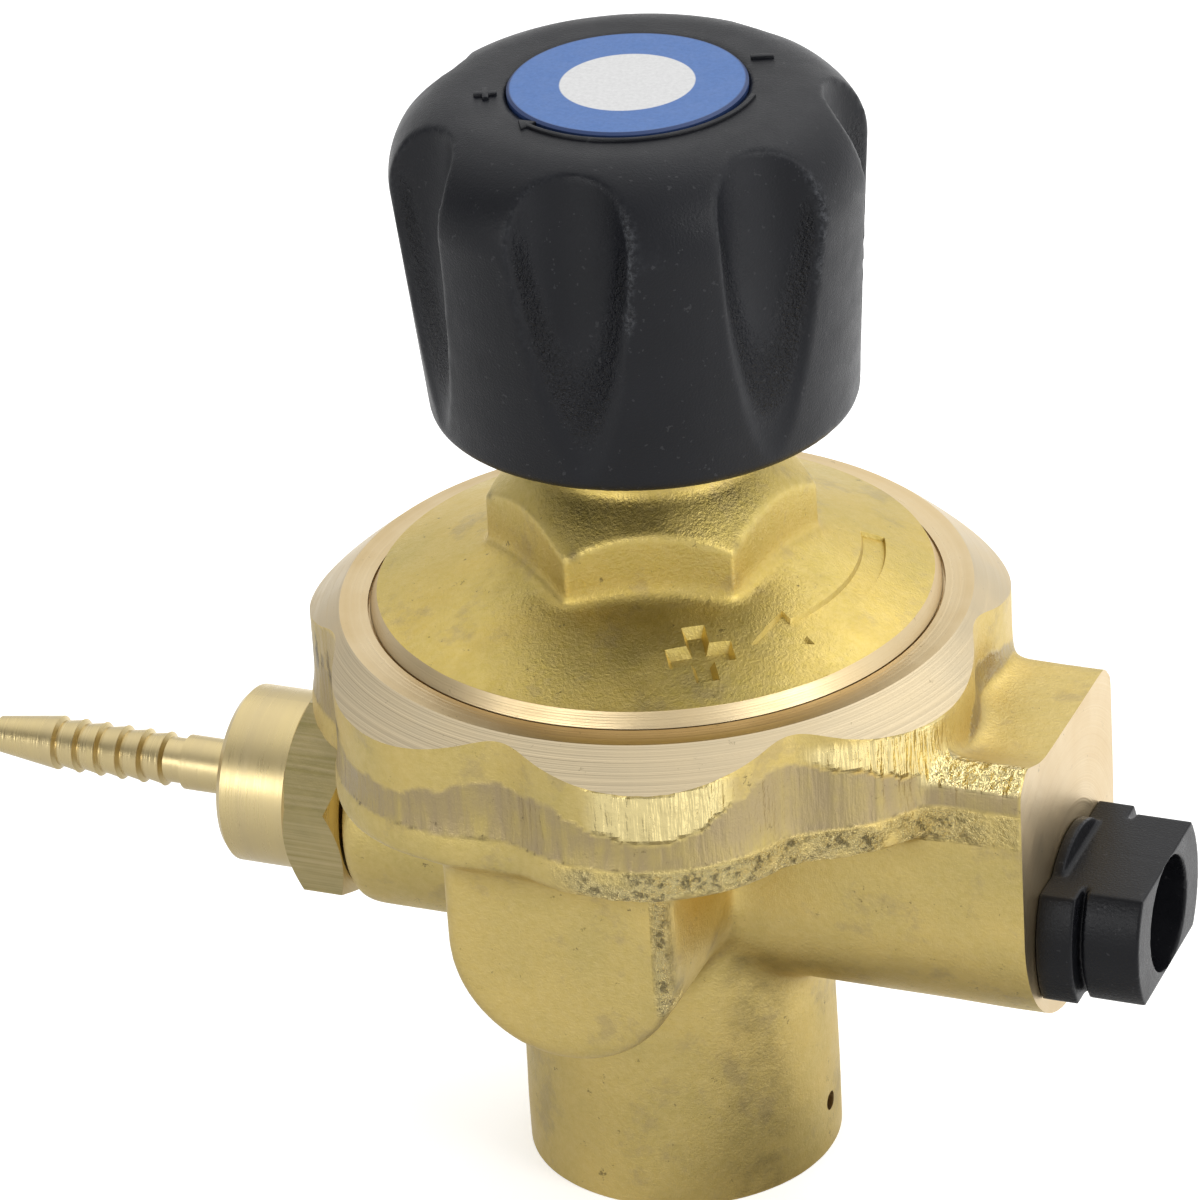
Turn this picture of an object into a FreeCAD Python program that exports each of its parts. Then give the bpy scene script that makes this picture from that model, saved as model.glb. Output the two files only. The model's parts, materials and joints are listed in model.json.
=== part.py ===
import FreeCAD, Part
import Sketcher
import math
import os

# Small brass pressure regulator for oxygen, in millimetres.
# The origin is the centre of the inlet socket's bottom face and +Z is up.
# +X points to the black relief cap, -X along the hose nozzle, -Y to the blank front boss.

doc = FreeCAD.newDocument("regulator")
sheet = doc.addObject("Spreadsheet::Sheet", "dims")
Vector = FreeCAD.Vector


class Size:
    """A number kept together with the sheet formula that gives it."""

    def __init__(self, value, text):
        self.value = value
        self.text = text

    def __add__(self, other):
        return Size(self.value + number(other), "(%s + %s)" % (self.text, words(other)))

    def __sub__(self, other):
        return Size(self.value - number(other), "(%s - %s)" % (self.text, words(other)))

    def __mul__(self, other):
        return Size(self.value * number(other), "(%s * %s)" % (self.text, words(other)))

    def __truediv__(self, other):
        return Size(self.value / number(other), "(%s / %s)" % (self.text, words(other)))

    def __neg__(self):
        return Size(-self.value, "(0 - %s)" % self.text)


def cosine(angle):
    return Size(math.cos(math.radians(angle.value)), "cos(%s * 1 deg)" % angle.text)


def sine(angle):
    return Size(math.sin(math.radians(angle.value)), "sin(%s * 1 deg)" % angle.text)


def number(item):
    return item.value if isinstance(item, Size) else float(item)


def words(item):
    return item.text if isinstance(item, Size) else "%.9f" % item


def size(alias, value):
    """Write one driving dimension into the sheet and return it."""
    row = size.row = size.row + 1
    sheet.set("A%d" % row, alias)
    sheet.set("B%d" % row, str(value))
    sheet.setAlias("B%d" % row, alias)
    return Size(float(value), "dims." + alias)


size.row = 0
ZERO = Size(0.0, "0")

# Fits between pieces
thread_gap = size("thread_gap", 0.05)
running_gap = size("running_gap", 0.05)
curved_gap = size("curved_gap", 0.3)
seat_gap = size("seat_gap", 0.02)

# Broken edges of turned pieces, and how far a cut runs past its material
edge_break = size("edge_break", 0.5)
overrun = size("cut_overrun", 1.0)

# Inlet socket and the core above it
socket_radius = size("socket_radius", 13.55)
socket_chamfer = size("socket_chamfer", 0.7)
inlet_radius = size("inlet_thread_radius", 5.46)
inlet_length = size("inlet_thread_length", 10.0)
inlet_mouth = size("inlet_mouth_chamfer", 0.4)
gasket_radius = size("gasket_radius", 5.95)
gasket_height = size("gasket_height", 1.6)
vent_radius = size("vent_radius", 0.85)
vent_z = size("vent_height", 4.5)

# Lobed flange
flange_bottom = size("flange_bottom", 40.0)
flange_top = size("flange_top", 52.9)
lobe_count = size("lobe_count", 7)
lobe_radius = size("lobe_radius", 14.2)
lobe_circle = size("lobe_circle_radius", 15.8)
lobe_phase = size("lobe_phase_angle", 31.4)
valley_fillet = size("valley_fillet", 5.0)
ledge_height = size("ledge_height", 3.0)
ledge_overhang = size("ledge_overhang", 0.35)
web_radius = size("flange_web_radius", 25.2)
top_face_radius = size("top_face_radius", 26.6)
rim_slope = size("rim_chamfer_slope", 0.81)

# Side block, front boss and outlet boss
block_end = size("block_end", 35.8)
block_half_width = size("block_half_width", 12.0)
block_top = size("block_top", 45.1)
block_round = size("block_round_height", 31.2)
block_bevel = size("block_bevel", 1.7)
flash_height = size("block_flash_height", 1.6)
flash_width = size("block_flash_width", 4.0)
boss_face = size("boss_face", 26.0)
boss_half_width = size("boss_half_width", 10.2)
boss_round = size("boss_round_height", 31.7)
outlet_axis = size("outlet_axis_height", 29.0)
outlet_face = size("outlet_face", 27.0)
outlet_boss_radius = size("outlet_boss_radius", 9.55)
relief_axis = size("relief_axis_height", 28.5)
forging_round = size("forging_round", 1.5)

# Chambers on the main axis
chamber_radius = size("chamber_radius", 19.0)
diaphragm_ledge = flange_top - size("diaphragm_ledge_depth", 5.9)
chamber_floor = diaphragm_ledge - size("chamber_depth", 3.5)
bonnet_bore = size("bonnet_bore_radius", 22.9)
well_radius = size("well_radius", 9.0)
well_floor = chamber_floor - size("well_depth", 5.5)
seat_thread = size("seat_thread_radius", 5.5)
seat_bottom = well_floor - size("seat_length", 8.0)
valve_chamber = size("valve_chamber_radius", 4.0)
retainer_radius = size("retainer_radius", 4.6)
retainer_top = size("retainer_top", 18.0)
retainer_lip_depth = size("retainer_lip_depth", 1.0)

# Diaphragm pack
diaphragm_thickness = size("diaphragm_thickness", 1.3)
diaphragm_hole = size("diaphragm_hole_radius", 2.1)
slip_thickness = size("slip_ring_thickness", 0.5)
slip_width = size("slip_ring_width", 4.6)
plate_radius = size("plate_radius", 12.5)
plate_thickness = size("plate_thickness", 1.5)
plate_boss_height = size("plate_boss_height", 2.0)
bellow_depth = size("diaphragm_bellow_depth", 1.0)
bellow_land = size("diaphragm_bellow_land", 0.4)
stud_radius = size("stud_radius", 1.9)
stud_end = diaphragm_ledge - size("stud_length", 2.4)
washer_radius = size("washer_radius", 7.0)
washer_thickness = size("washer_thickness", 1.0)
stud_nut_flats = size("stud_nut_flats", 7.0)
stud_nut_height = size("stud_nut_height", 1.2)

# Bonnet
rim_radius = size("bonnet_rim_radius", 24.0)
rim_top_radius = size("bonnet_rim_top_radius", 23.4)
rim_height = size("bonnet_rim_height", 1.2)
dome_top_radius = size("dome_top_radius", 13.7)
dome_top = flange_top + rim_height + size("dome_rise", 3.9)
bonnet_flats = size("bonnet_flats", 24.0)
bonnet_turn = size("bonnet_turn_angle", 20.0)
hex_top = dome_top + size("bonnet_hex_height", 6.0)
neck_radius = size("neck_radius", 9.5)
neck_top = hex_top + size("neck_height", 12.0)
neck_chamfer = size("neck_chamfer", 0.8)
spring_bore = size("spring_bore_radius", 7.6)
bonnet_ceiling = neck_top - size("bonnet_ceiling_wall", 6.0)
dome_wall = size("dome_wall", 3.4)

# Spindle, ball and spring button
spindle_hole = size("spindle_thread_radius", 5.0)
thread_pitch = size("spindle_thread_pitch", 1.5)
knob_turns = size("knob_turns", 3)
collar_radius = size("spindle_collar_radius", 6.4)
collar_height = size("spindle_collar_height", 1.5)
drive_flats = size("drive_flats", 8.0)
ball_radius = size("ball_radius", 1.6)
button_radius = size("button_radius", 7.3)
button_thickness = size("button_thickness", 2.0)
spigot_height = size("spigot_height", 2.3)

# Regulating spring
spring_wire = size("spring_wire_radius", 0.95)
spring_radius = size("spring_mean_radius", 5.75)
spring_turns = size("spring_turns", 5)

# Knob
knob_bottom = neck_top - size("knob_skirt_overlap", 5.0)
knob_top = knob_bottom + size("knob_height", 27.9)
knob_bottom_radius = size("knob_bottom_radius", 17.75)
knob_top_radius = size("knob_top_radius", 19.8)
shoulder_radius = size("shoulder_radius", 7.0)
knob_wall = size("knob_wall", 2.1)
knob_ceiling = knob_top - size("knob_ceiling_wall", 3.9)
hub_radius = size("hub_radius", 7.0)
hub_bottom_gap = size("hub_bottom_gap", 0.8)
flute_count = size("flute_count", 7)
flute_radius = size("flute_radius", 5.9)
flute_depth_top = size("flute_inner_radius_top", 15.7)
flute_depth_bottom = size("flute_inner_radius_bottom", 17.9)
flute_phase = size("flute_phase_angle", -84.5)
rib_thickness = size("rib_thickness", 1.2)
rib_height = size("rib_height", 9.0)
rib_bite = size("rib_bite", 0.5)
disc_radius = size("disc_radius", 9.8)
disc_thickness = size("disc_thickness", 1.2)
disc_proud = size("disc_proud", 0.3)
disc_edge = size("disc_edge_break", 0.2)
screw_shank = size("knob_screw_radius", 1.95)
screw_head = size("knob_screw_head_radius", 3.5)
screw_head_height = size("knob_screw_head_height", 1.5)
screw_length = size("knob_screw_length", 9.0)

# Valve
orifice_radius = size("orifice_radius", 1.4)
seat_flats = size("seat_flats", 12.0)
seat_hex_height = size("seat_hex_height", 2.5)
pin_radius = size("pin_radius", 0.9)
poppet_radius = size("poppet_radius", 3.2)
poppet_length = size("poppet_length", 6.5)
pad_radius = size("pad_radius", 2.4)
pad_thickness = size("pad_thickness", 1.2)
poppet_guide = size("poppet_guide_radius", 1.4)
poppet_guide_length = size("poppet_guide_length", 2.0)
seat_lip = size("seat_lip_width", 0.5)
seat_lip_height = size("seat_lip_height", 0.8)
orifice_length = size("orifice_length", 2.0)
poppet_wire = size("poppet_spring_wire_radius", 0.3)
poppet_spring_radius = size("poppet_spring_mean_radius", 2.1)
poppet_turns = size("poppet_spring_turns", 5)

# Inlet pieces
filter_radius = size("filter_radius", 3.2)
filter_height = size("filter_height", 2.0)
probe_radius = size("probe_radius", 1.5)
probe_flange = size("probe_flange_radius", 3.1)
probe_tip = size("probe_tip_height", 10.3)
probe_flange_height = size("probe_flange_height", 0.8)
passage_radius = size("passage_radius", 0.9)

# Outlet pieces
outlet_thread = size("outlet_thread_radius", 5.0)
outlet_thread_depth = size("outlet_thread_depth", 8.5)
outlet_passage = size("outlet_passage_radius", 1.5)
outlet_riser = size("outlet_riser_position", 11.3)
washer_ring = size("outlet_gasket_thickness", 0.6)
washer_ring_radius = size("outlet_gasket_radius", 5.8)
nipple_radius = size("nipple_radius", 5.9)
nut_gap = size("nut_gap", 0.25)
nut_flats = size("nut_flats", 16.8)
nut_turn = size("nut_turn_angle", 14.8)
nut_chamfer = size("nut_chamfer_height", 0.9)
nut_hex_length = size("nut_hex_length", 5.35)
nut_collar_radius = size("nut_collar_radius", 7.75)
nut_collar_length = size("nut_collar_length", 6.6)
nut_wall = size("nut_end_wall", 2.4)
nut_edge = size("nut_edge_break", 0.1)
tail_radius = size("tail_stem_radius", 2.42)
tail_journal = size("tail_journal_radius", 2.6)
tail_neck = size("tail_neck_radius", 2.0)
tail_neck_start = size("tail_neck_start", 45.0)
tail_tip = size("tail_tip", 63.2)
tail_tip_radius = size("tail_tip_radius", 1.6)
tail_bore = size("tail_bore_radius", 1.0)
tail_head_length = size("tail_head_length", 2.6)
tail_cone_length = size("tail_cone_length", 2.0)
tail_cone_width = size("tail_cone_width", 1.4)
barb_count = 6
barb_first = size("barb_first", 47.0)
barb_pitch = size("barb_pitch", 2.07)
barb_radius = size("barb_radius", 2.4)
barb_back = size("barb_back_length", 0.25)
barb_crest = size("barb_crest", 0.1)

# Relief valve
relief_thread = size("relief_thread_radius", 6.0)
relief_thread_depth = size("relief_thread_depth", 9.5)
relief_chamber = size("relief_chamber_radius", 4.6)
relief_chamber_depth = size("relief_chamber_depth", 15.5)
relief_hole = size("relief_hole_radius", 1.2)
relief_riser = size("relief_riser_position", 16.6)
relief_poppet_radius = size("relief_poppet_radius", 4.4)
relief_poppet_length = size("relief_poppet_length", 4.5)
relief_guide_length = size("relief_guide_length", 2.0)
relief_pad_radius = size("relief_pad_radius", 2.6)
relief_wire = size("relief_spring_wire_radius", 0.45)
relief_spring_radius = size("relief_spring_mean_radius", 2.9)
relief_turns = size("relief_spring_turns", 5)
cap_length = size("cap_length", 8.6)
cap_radius = size("cap_radius", 8.45)
cap_flats = size("cap_flats", 10.1)
cap_flange_radius = size("cap_flange_radius", 9.5)
cap_flange = size("cap_flange_thickness", 3.2)
cap_groove = size("cap_groove_width", 0.5)
cap_groove_radius = size("cap_groove_radius", 7.7)
cap_collar_radius = size("cap_collar_radius", 7.0)
cap_collar = size("cap_collar_thickness", 1.0)
cap_recess_radius = size("cap_recess_radius", 4.95)
cap_recess_depth = size("cap_recess_depth", 4.5)
cap_bore = size("cap_bore_radius", 3.9)
screw_radius = size("relief_screw_radius", 3.85)
relief_screw_length = size("relief_screw_length", 4.0)
relief_screw_sink = size("relief_screw_sink", 3.5)
relief_key = size("relief_key_flats", 3.0)
relief_key_depth = size("relief_key_depth", 1.8)
doc.recompute()


def origin_feature(body, role):
    for feature in body.Origin.OriginFeatures:
        if feature.Role == role:
            return feature
    raise ValueError(role)


def new_body(label):
    return doc.addObject("PartDesign::Body", label)


def new_sketch(body, name, role, offset=None, lift=None):
    """A sketch on an origin plane, shifted along its own second axis and along its normal."""
    sketch = body.newObject("Sketcher::SketchObject", name)
    sketch.AttachmentSupport = [(origin_feature(body, role), "")]
    sketch.MapMode = "FlatFace"
    if offset is not None:
        sketch.setExpression("AttachmentOffset.Base.y", offset.text)
    if lift is not None:
        sketch.setExpression("AttachmentOffset.Base.z", lift.text)
    return sketch


def pin(sketch, index, end, kind, item):
    """Fix one coordinate of a point of the sketch at a size."""
    if item.text == "0":
        axis = -2 if kind == "DistanceX" else -1
        sketch.addConstraint(Sketcher.Constraint("PointOnObject", index, end, axis))
        return
    row = sketch.addConstraint(Sketcher.Constraint(kind, -1, 1, index, end, item.value))
    sketch.setExpression("Constraints[%d]" % row, item.text)


def pin_point(sketch, index, end, place):
    """Fix one end of a line or arc at a place given by two sizes."""
    pin(sketch, index, end, "DistanceX", place[0])
    pin(sketch, index, end, "DistanceY", place[1])


def size_arc(sketch, index, start, target):
    """Fix an arc's radius, or the centre of a half circle, which its ends already size."""
    radius = target[2]
    across = abs(target[0].value - start[0].value)
    up = abs(target[1].value - start[1].value)
    if math.hypot(across, up) < 2 * radius.value - 1e-6:
        row = sketch.addConstraint(Sketcher.Constraint("Radius", index, radius.value))
        sketch.setExpression("Constraints[%d]" % row, radius.text)
    elif across > up:
        pin(sketch, index, 3, "DistanceY", target[1])
    else:
        pin(sketch, index, 3, "DistanceX", target[0])


def arc_between(start, end, radius, side):
    """An arc from start to end; side +1 bulges to the left of the chord, -1 to its right."""
    chord = end - start
    half = chord.Length / 2
    middle = (start + end) * 0.5
    left = Vector(-chord.y, chord.x, 0)
    left.normalize()
    depth = math.sqrt(max(radius * radius - half * half, 0.0))
    centre = middle - left * (side * depth)
    crown = centre + left * (side * radius)
    return Part.Arc(start, crown, end)


def draw(sketch, points):
    """A closed outline. A point is (x, y), or (x, y, radius, side) where an arc leads to it."""
    places = [Vector(point[0].value, point[1].value, 0) for point in points]
    count = len(points)
    for i in range(count):
        target = points[(i + 1) % count]
        start, end = places[i], places[(i + 1) % count]
        if len(target) == 4:
            sketch.addGeometry(arc_between(start, end, target[2].value, target[3]))
        else:
            sketch.addGeometry(Part.LineSegment(start, end))
    swapped = []
    for i in range(count):
        geometry = sketch.Geometry[i]
        if isinstance(geometry, Part.ArcOfCircle):
            swapped.append((geometry.StartPoint - places[i]).Length > 1e-6)
        else:
            swapped.append(False)
    for i in range(count):
        after = (i + 1) % count
        tail = 1 if swapped[i] else 2
        head = 2 if swapped[after] else 1
        sketch.addConstraint(Sketcher.Constraint("Coincident", i, tail, after, head))
        pin_point(sketch, i, 2 if swapped[i] else 1, points[i])
        if len(points[after]) == 4:
            size_arc(sketch, i, points[i], points[after])


def draw_circle(sketch, centre_x, centre_y, radius):
    index = sketch.addGeometry(Part.Circle(Vector(centre_x.value, centre_y.value, 0),
                                           Vector(0, 0, 1), radius.value))
    pin_point(sketch, index, 3, (centre_x, centre_y))
    row = sketch.addConstraint(Sketcher.Constraint("Radius", index, radius.value))
    sketch.setExpression("Constraints[%d]" % row, radius.text)


def hexagon(flats, turn_angle=None):
    """Six corners of a hexagon of the given width across flats, one on the first axis or turned."""
    corner = flats * (1 / math.sqrt(3))
    half = corner * 0.5
    side = flats * 0.5
    points = [(corner, ZERO), (half, side), (-half, side), (-corner, ZERO), (-half, -side), (half, -side)]
    if turn_angle is None:
        return points
    along, across = cosine(turn_angle), sine(turn_angle)
    return [(x * along - y * across, x * across + y * along) for x, y in points]


def turn(body, name, points, role="XZ_Plane", axis="V_Axis", offset=None, cut=False):
    """Add or cut a turned form from a half outline."""
    sketch = new_sketch(body, name + "_outline", role, offset)
    draw(sketch, points)
    feature = body.newObject("PartDesign::Groove" if cut else "PartDesign::Revolution", name)
    feature.Profile = sketch
    feature.ReferenceAxis = (sketch, [axis])
    feature.Angle = 360
    return feature


def extrude(body, name, sketch, length, cut=False, back=False):
    """Pad or pocket a sketch by a length."""
    feature = body.newObject("PartDesign::Pocket" if cut else "PartDesign::Pad", name)
    feature.Profile = sketch
    feature.setExpression("Length", length.text)
    feature.Reversed = back
    return feature


def ring_of(body, name, feature, count):
    """Repeat a feature about the body's own Z axis."""
    pattern = body.newObject("PartDesign::PolarPattern", name)
    pattern.Originals = [feature]
    pattern.Axis = (origin_feature(body, "Z_Axis"), [""])
    pattern.Angle = 360
    pattern.setExpression("Occurrences", count.text)
    body.Tip = pattern
    return pattern


def round_edges(body, name, radius, wanted):
    """Fillet the edges of the body's present shape that the test picks."""
    doc.recompute()
    base = body.Tip
    names = []
    for i, edge in enumerate(base.Shape.Edges):
        if wanted(edge):
            names.append("Edge%d" % (i + 1))
    feature = body.newObject("PartDesign::Fillet", name)
    feature.Base = (base, names)
    feature.setExpression("Radius", radius.text)
    return feature


def middle_of(edge):
    """The point half way along an edge."""
    return edge.valueAt((edge.FirstParameter + edge.LastParameter) / 2)


def is_line(edge):
    return isinstance(edge.Curve, Part.Line)


def place(body, x=None, z=None, turn_z=None):
    """Place a piece by sizes: along X, along Z and turned about Z."""
    if turn_z is not None:
        body.Placement = FreeCAD.Placement(Vector(0, 0, 0), FreeCAD.Rotation(Vector(0, 0, 1), 0))
        body.setExpression("Placement.Rotation.Angle", turn_z.text)
    if x is not None:
        body.setExpression("Placement.Base.x", x.text)
    if z is not None:
        body.setExpression("Placement.Base.z", z.text)


def simple_turned(label, points):
    """A piece that is one turned form about the main axis."""
    body = new_body(label)
    turn(body, label + "_turned", points)
    return body


def cross_turned(label, points, axis_height, mirrored=False):
    """A turned piece on a cross axis. Its outline runs outwards from the main axis."""
    body = new_body(label)
    turn(body, label + "_turned", points, axis="H_Axis")
    if mirrored:
        body.Placement = FreeCAD.Placement(Vector(0, 0, 0), FreeCAD.Rotation(Vector(0, 0, 1), 180))
    place(body, z=axis_height)
    return body


def ring(inner, outer, low, high):
    return [(inner, low), (outer, low), (outer, high), (inner, high)]


def cross_ring(inner, outer, near, far):
    return [(near, inner), (far, inner), (far, outer), (near, outer)]


# Levels that several pieces share
diaphragm_top = diaphragm_ledge + diaphragm_thickness
skirt_bottom = diaphragm_top + slip_thickness
plate_top = diaphragm_top + plate_thickness
collar_top = bonnet_ceiling - curved_gap
collar_bottom = collar_top - collar_height
ball_top = collar_bottom - curved_gap
ball_centre = ball_top - ball_radius
button_top = ball_centre + ball_radius * 0.5
button_bottom = button_top - button_thickness
screw_travel = thread_pitch * knob_turns
hub_bottom = neck_top + screw_travel + hub_bottom_gap
disc_top = knob_top + disc_proud
disc_bottom = disc_top - disc_thickness
screw_head_top = disc_bottom - seat_gap
screw_head_bottom = screw_head_top - screw_head_height
drive_top = screw_head_bottom - curved_gap
gasket_bottom = inlet_length + curved_gap
gasket_top = gasket_bottom + gasket_height
pad_top = seat_bottom - seat_gap
poppet_bottom = pad_top - poppet_length
relief_seat = block_end - relief_chamber_depth
relief_pad_face = relief_seat + seat_gap
cap_end = block_end + cap_length

# Body
body = new_body("body")
turn(body, "core", [
    (ZERO, ZERO),
    (socket_radius - socket_chamfer, ZERO),
    (socket_radius, socket_chamfer),
    (socket_radius, flange_bottom),
    (web_radius, flange_bottom),
    (web_radius, flange_top),
    (ZERO, flange_top),
])
for part_name, extra, height in (("lobe", ZERO, flange_top - flange_bottom),
                                 ("ledge", ledge_overhang, ledge_height)):
    lobe_sketch = new_sketch(body, part_name + "_circle", "XY_Plane", lift=flange_bottom)
    draw_circle(lobe_sketch, lobe_circle * cosine(lobe_phase), lobe_circle * sine(lobe_phase),
                lobe_radius + extra)
    lobe = extrude(body, part_name, lobe_sketch, height)
    ring_of(body, part_name + "_ring", lobe, lobe_count)


def in_valley(edge):
    point = middle_of(edge)
    upright = is_line(edge) and abs(edge.tangentAt(edge.FirstParameter).z) > 0.99
    return upright and math.hypot(point.x, point.y) > web_radius.value


round_edges(body, "valleys", valley_fillet, in_valley)

block_sketch = new_sketch(body, "block_section", "YZ_Plane")
draw(block_sketch, [
    (-block_half_width, block_round),
    (block_half_width, block_round, block_half_width, -1),
    (block_half_width, block_top - block_bevel),
    (block_half_width - block_bevel, block_top),
    (-(block_half_width - block_bevel - flash_width), block_top),
    (-(block_half_width - block_bevel), block_top + flash_height),
    (-block_half_width, block_top + flash_height - block_bevel),
])
extrude(body, "block", block_sketch, block_end)

boss_sketch = new_sketch(body, "front_boss_section", "XZ_Plane")
boss_top = flange_bottom + ledge_height * 0.5
draw(boss_sketch, [
    (-boss_half_width, boss_round),
    (boss_half_width, boss_round, boss_half_width, -1),
    (boss_half_width, boss_top),
    (-boss_half_width, boss_top),
])
extrude(body, "front_boss", boss_sketch, boss_face)

outlet_sketch = new_sketch(body, "outlet_boss_circle", "YZ_Plane")
draw_circle(outlet_sketch, ZERO, outlet_axis, outlet_boss_radius)
extrude(body, "outlet_boss", outlet_sketch, outlet_face, back=True)


def on_front_face(edge):
    box = edge.BoundBox
    flat = abs(box.YMin + boss_face.value) < 0.01 and abs(box.YMax + boss_face.value) < 0.01
    return flat and box.ZMax < flange_bottom.value + 0.01


def on_outlet_face(edge):
    box = edge.BoundBox
    return abs(box.XMin + outlet_face.value) < 0.01 and abs(box.XMax + outlet_face.value) < 0.01


round_edges(body, "front_round", forging_round, on_front_face)
round_edges(body, "outlet_round", forging_round, on_outlet_face)

rim_reach = lobe_circle + lobe_radius + ledge_overhang + overrun - top_face_radius
turn(body, "rim_chamfer", [
    (top_face_radius, flange_top),
    (top_face_radius + rim_reach, flange_top - rim_reach * rim_slope),
    (top_face_radius + rim_reach, flange_top + overrun),
    (top_face_radius, flange_top + overrun),
], cut=True)
turn(body, "main_bores", [
    (ZERO, -overrun),
    (inlet_radius + inlet_mouth + overrun, -overrun),
    (inlet_radius, inlet_mouth),
    (inlet_radius, inlet_length),
    (gasket_radius + thread_gap, inlet_length),
    (gasket_radius + thread_gap, gasket_top),
    (retainer_radius + thread_gap, gasket_top),
    (retainer_radius + thread_gap, retainer_top),
    (valve_chamber, retainer_top),
    (valve_chamber, seat_bottom - overrun),
    (seat_thread + thread_gap, seat_bottom - overrun),
    (seat_thread + thread_gap, well_floor),
    (well_radius, well_floor),
    (well_radius, chamber_floor),
    (chamber_radius, chamber_floor),
    (chamber_radius, diaphragm_ledge),
    (bonnet_bore, diaphragm_ledge),
    (bonnet_bore, flange_top + overrun),
    (ZERO, flange_top + overrun),
], cut=True)
turn(body, "relief_bores", [
    (relief_riser - relief_hole, ZERO),
    (block_end + overrun, ZERO),
    (block_end + overrun, relief_thread),
    (block_end - relief_thread_depth, relief_thread),
    (block_end - relief_thread_depth, relief_chamber),
    (relief_seat, relief_chamber),
    (relief_seat, relief_hole),
    (relief_riser - relief_hole, relief_hole),
], axis="H_Axis", offset=relief_axis, cut=True)
outlet_bottom = outlet_face - outlet_thread_depth
turn(body, "outlet_bores", [
    (-(outlet_face + overrun), ZERO),
    (-outlet_riser, ZERO),
    (-outlet_riser, outlet_passage),
    (-outlet_bottom, outlet_passage),
    (-outlet_bottom, outlet_thread),
    (-(outlet_face + overrun), outlet_thread),
], axis="H_Axis", offset=outlet_axis, cut=True)
for hole_name, hole_x, hole_radius, hole_low in (
        ("relief_passage", relief_riser, relief_hole, relief_axis),
        ("outlet_passage", -outlet_riser, passage_radius, outlet_axis)):
    riser = new_sketch(body, hole_name + "_circle", "XY_Plane", lift=hole_low)
    draw_circle(riser, hole_x, ZERO, hole_radius)
    extrude(body, hole_name, riser, chamber_floor + overrun - hole_low, cut=True, back=True)
vent_sketch = new_sketch(body, "vent_circle", "YZ_Plane")
draw_circle(vent_sketch, ZERO, vent_z, vent_radius)
extrude(body, "vent", vent_sketch, socket_radius + overrun, cut=True, back=True)

# Bonnet
bonnet = new_body("bonnet")
rim_top = flange_top + rim_height
turn(bonnet, "bell", [
    (chamber_radius, skirt_bottom),
    (bonnet_bore - thread_gap, skirt_bottom),
    (bonnet_bore - thread_gap, flange_top),
    (rim_radius, flange_top),
    (rim_top_radius, rim_top),
    (dome_top_radius, dome_top),
    (neck_radius, dome_top),
    (neck_radius, neck_top - neck_chamfer),
    (neck_radius - neck_chamfer, neck_top),
    (spindle_hole, neck_top),
    (spindle_hole, bonnet_ceiling),
    (spring_bore, bonnet_ceiling),
    (spring_bore, dome_top - dome_wall),
    (chamber_radius, rim_top - dome_wall),
])
half_flats = bonnet_flats * 0.5
hex_foot = dome_top - dome_wall * 0.4
hex_crown = hex_top + half_flats - neck_radius
hex_sketch = new_sketch(bonnet, "hex_section", "XY_Plane", lift=hex_foot)
draw(hex_sketch, hexagon(bonnet_flats))
extrude(bonnet, "hexagon", hex_sketch, hex_crown - hex_foot)
corner_reach = bonnet_flats * 0.6
turn(bonnet, "hex_cone", [
    (neck_radius, hex_crown),
    (corner_reach, hex_crown + neck_radius - corner_reach),
    (corner_reach, hex_crown + overrun),
    (neck_radius, hex_crown + overrun),
], cut=True)
turn(bonnet, "spring_room", [
    (ZERO, skirt_bottom),
    (spring_bore, skirt_bottom),
    (spring_bore, bonnet_ceiling),
    (ZERO, bonnet_ceiling),
], cut=True)
place(bonnet, turn_z=bonnet_turn)

# Diaphragm pack
pack_radius = bonnet_bore - curved_gap
simple_turned("slip_ring", ring(pack_radius - slip_width, pack_radius, diaphragm_top, skirt_bottom))
bellow_middle = (plate_radius + chamber_radius) * 0.5
simple_turned("diaphragm", [
    (diaphragm_hole, diaphragm_ledge),
    (plate_radius, diaphragm_ledge),
    (bellow_middle, diaphragm_ledge - bellow_depth),
    (chamber_radius - bellow_land, diaphragm_ledge),
    (pack_radius, diaphragm_ledge),
    (pack_radius, diaphragm_top),
    (chamber_radius - bellow_land * 2, diaphragm_top),
    (bellow_middle, diaphragm_top - bellow_depth),
    (plate_radius + bellow_land, diaphragm_top),
    (diaphragm_hole, diaphragm_top),
])
spigot_radius = spring_radius - spring_wire - curved_gap
simple_turned("diaphragm_plate", [
    (ZERO, stud_end),
    (stud_radius, stud_end),
    (stud_radius, diaphragm_top),
    (plate_radius, diaphragm_top),
    (plate_radius, plate_top - edge_break),
    (plate_radius - edge_break, plate_top),
    (spigot_radius, plate_top),
    (spigot_radius, plate_top + plate_boss_height - edge_break),
    (spigot_radius - edge_break, plate_top + plate_boss_height),
    (ZERO, plate_top + plate_boss_height),
])
washer_bottom = diaphragm_ledge - washer_thickness
simple_turned("diaphragm_washer", ring(stud_radius + running_gap, washer_radius, washer_bottom,
                                       diaphragm_ledge))
stud_nut = new_body("diaphragm_nut")
stud_nut_bottom = washer_bottom - stud_nut_height
nut_sketch = new_sketch(stud_nut, "nut_section", "XY_Plane", lift=stud_nut_bottom)
draw(nut_sketch, hexagon(stud_nut_flats))
extrude(stud_nut, "nut_block", nut_sketch, stud_nut_height)
turn(stud_nut, "nut_hole", [
    (ZERO, stud_nut_bottom - overrun),
    (stud_radius + running_gap, stud_nut_bottom - overrun),
    (stud_radius + running_gap, washer_bottom + overrun),
    (ZERO, washer_bottom + overrun),
], cut=True)


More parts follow.
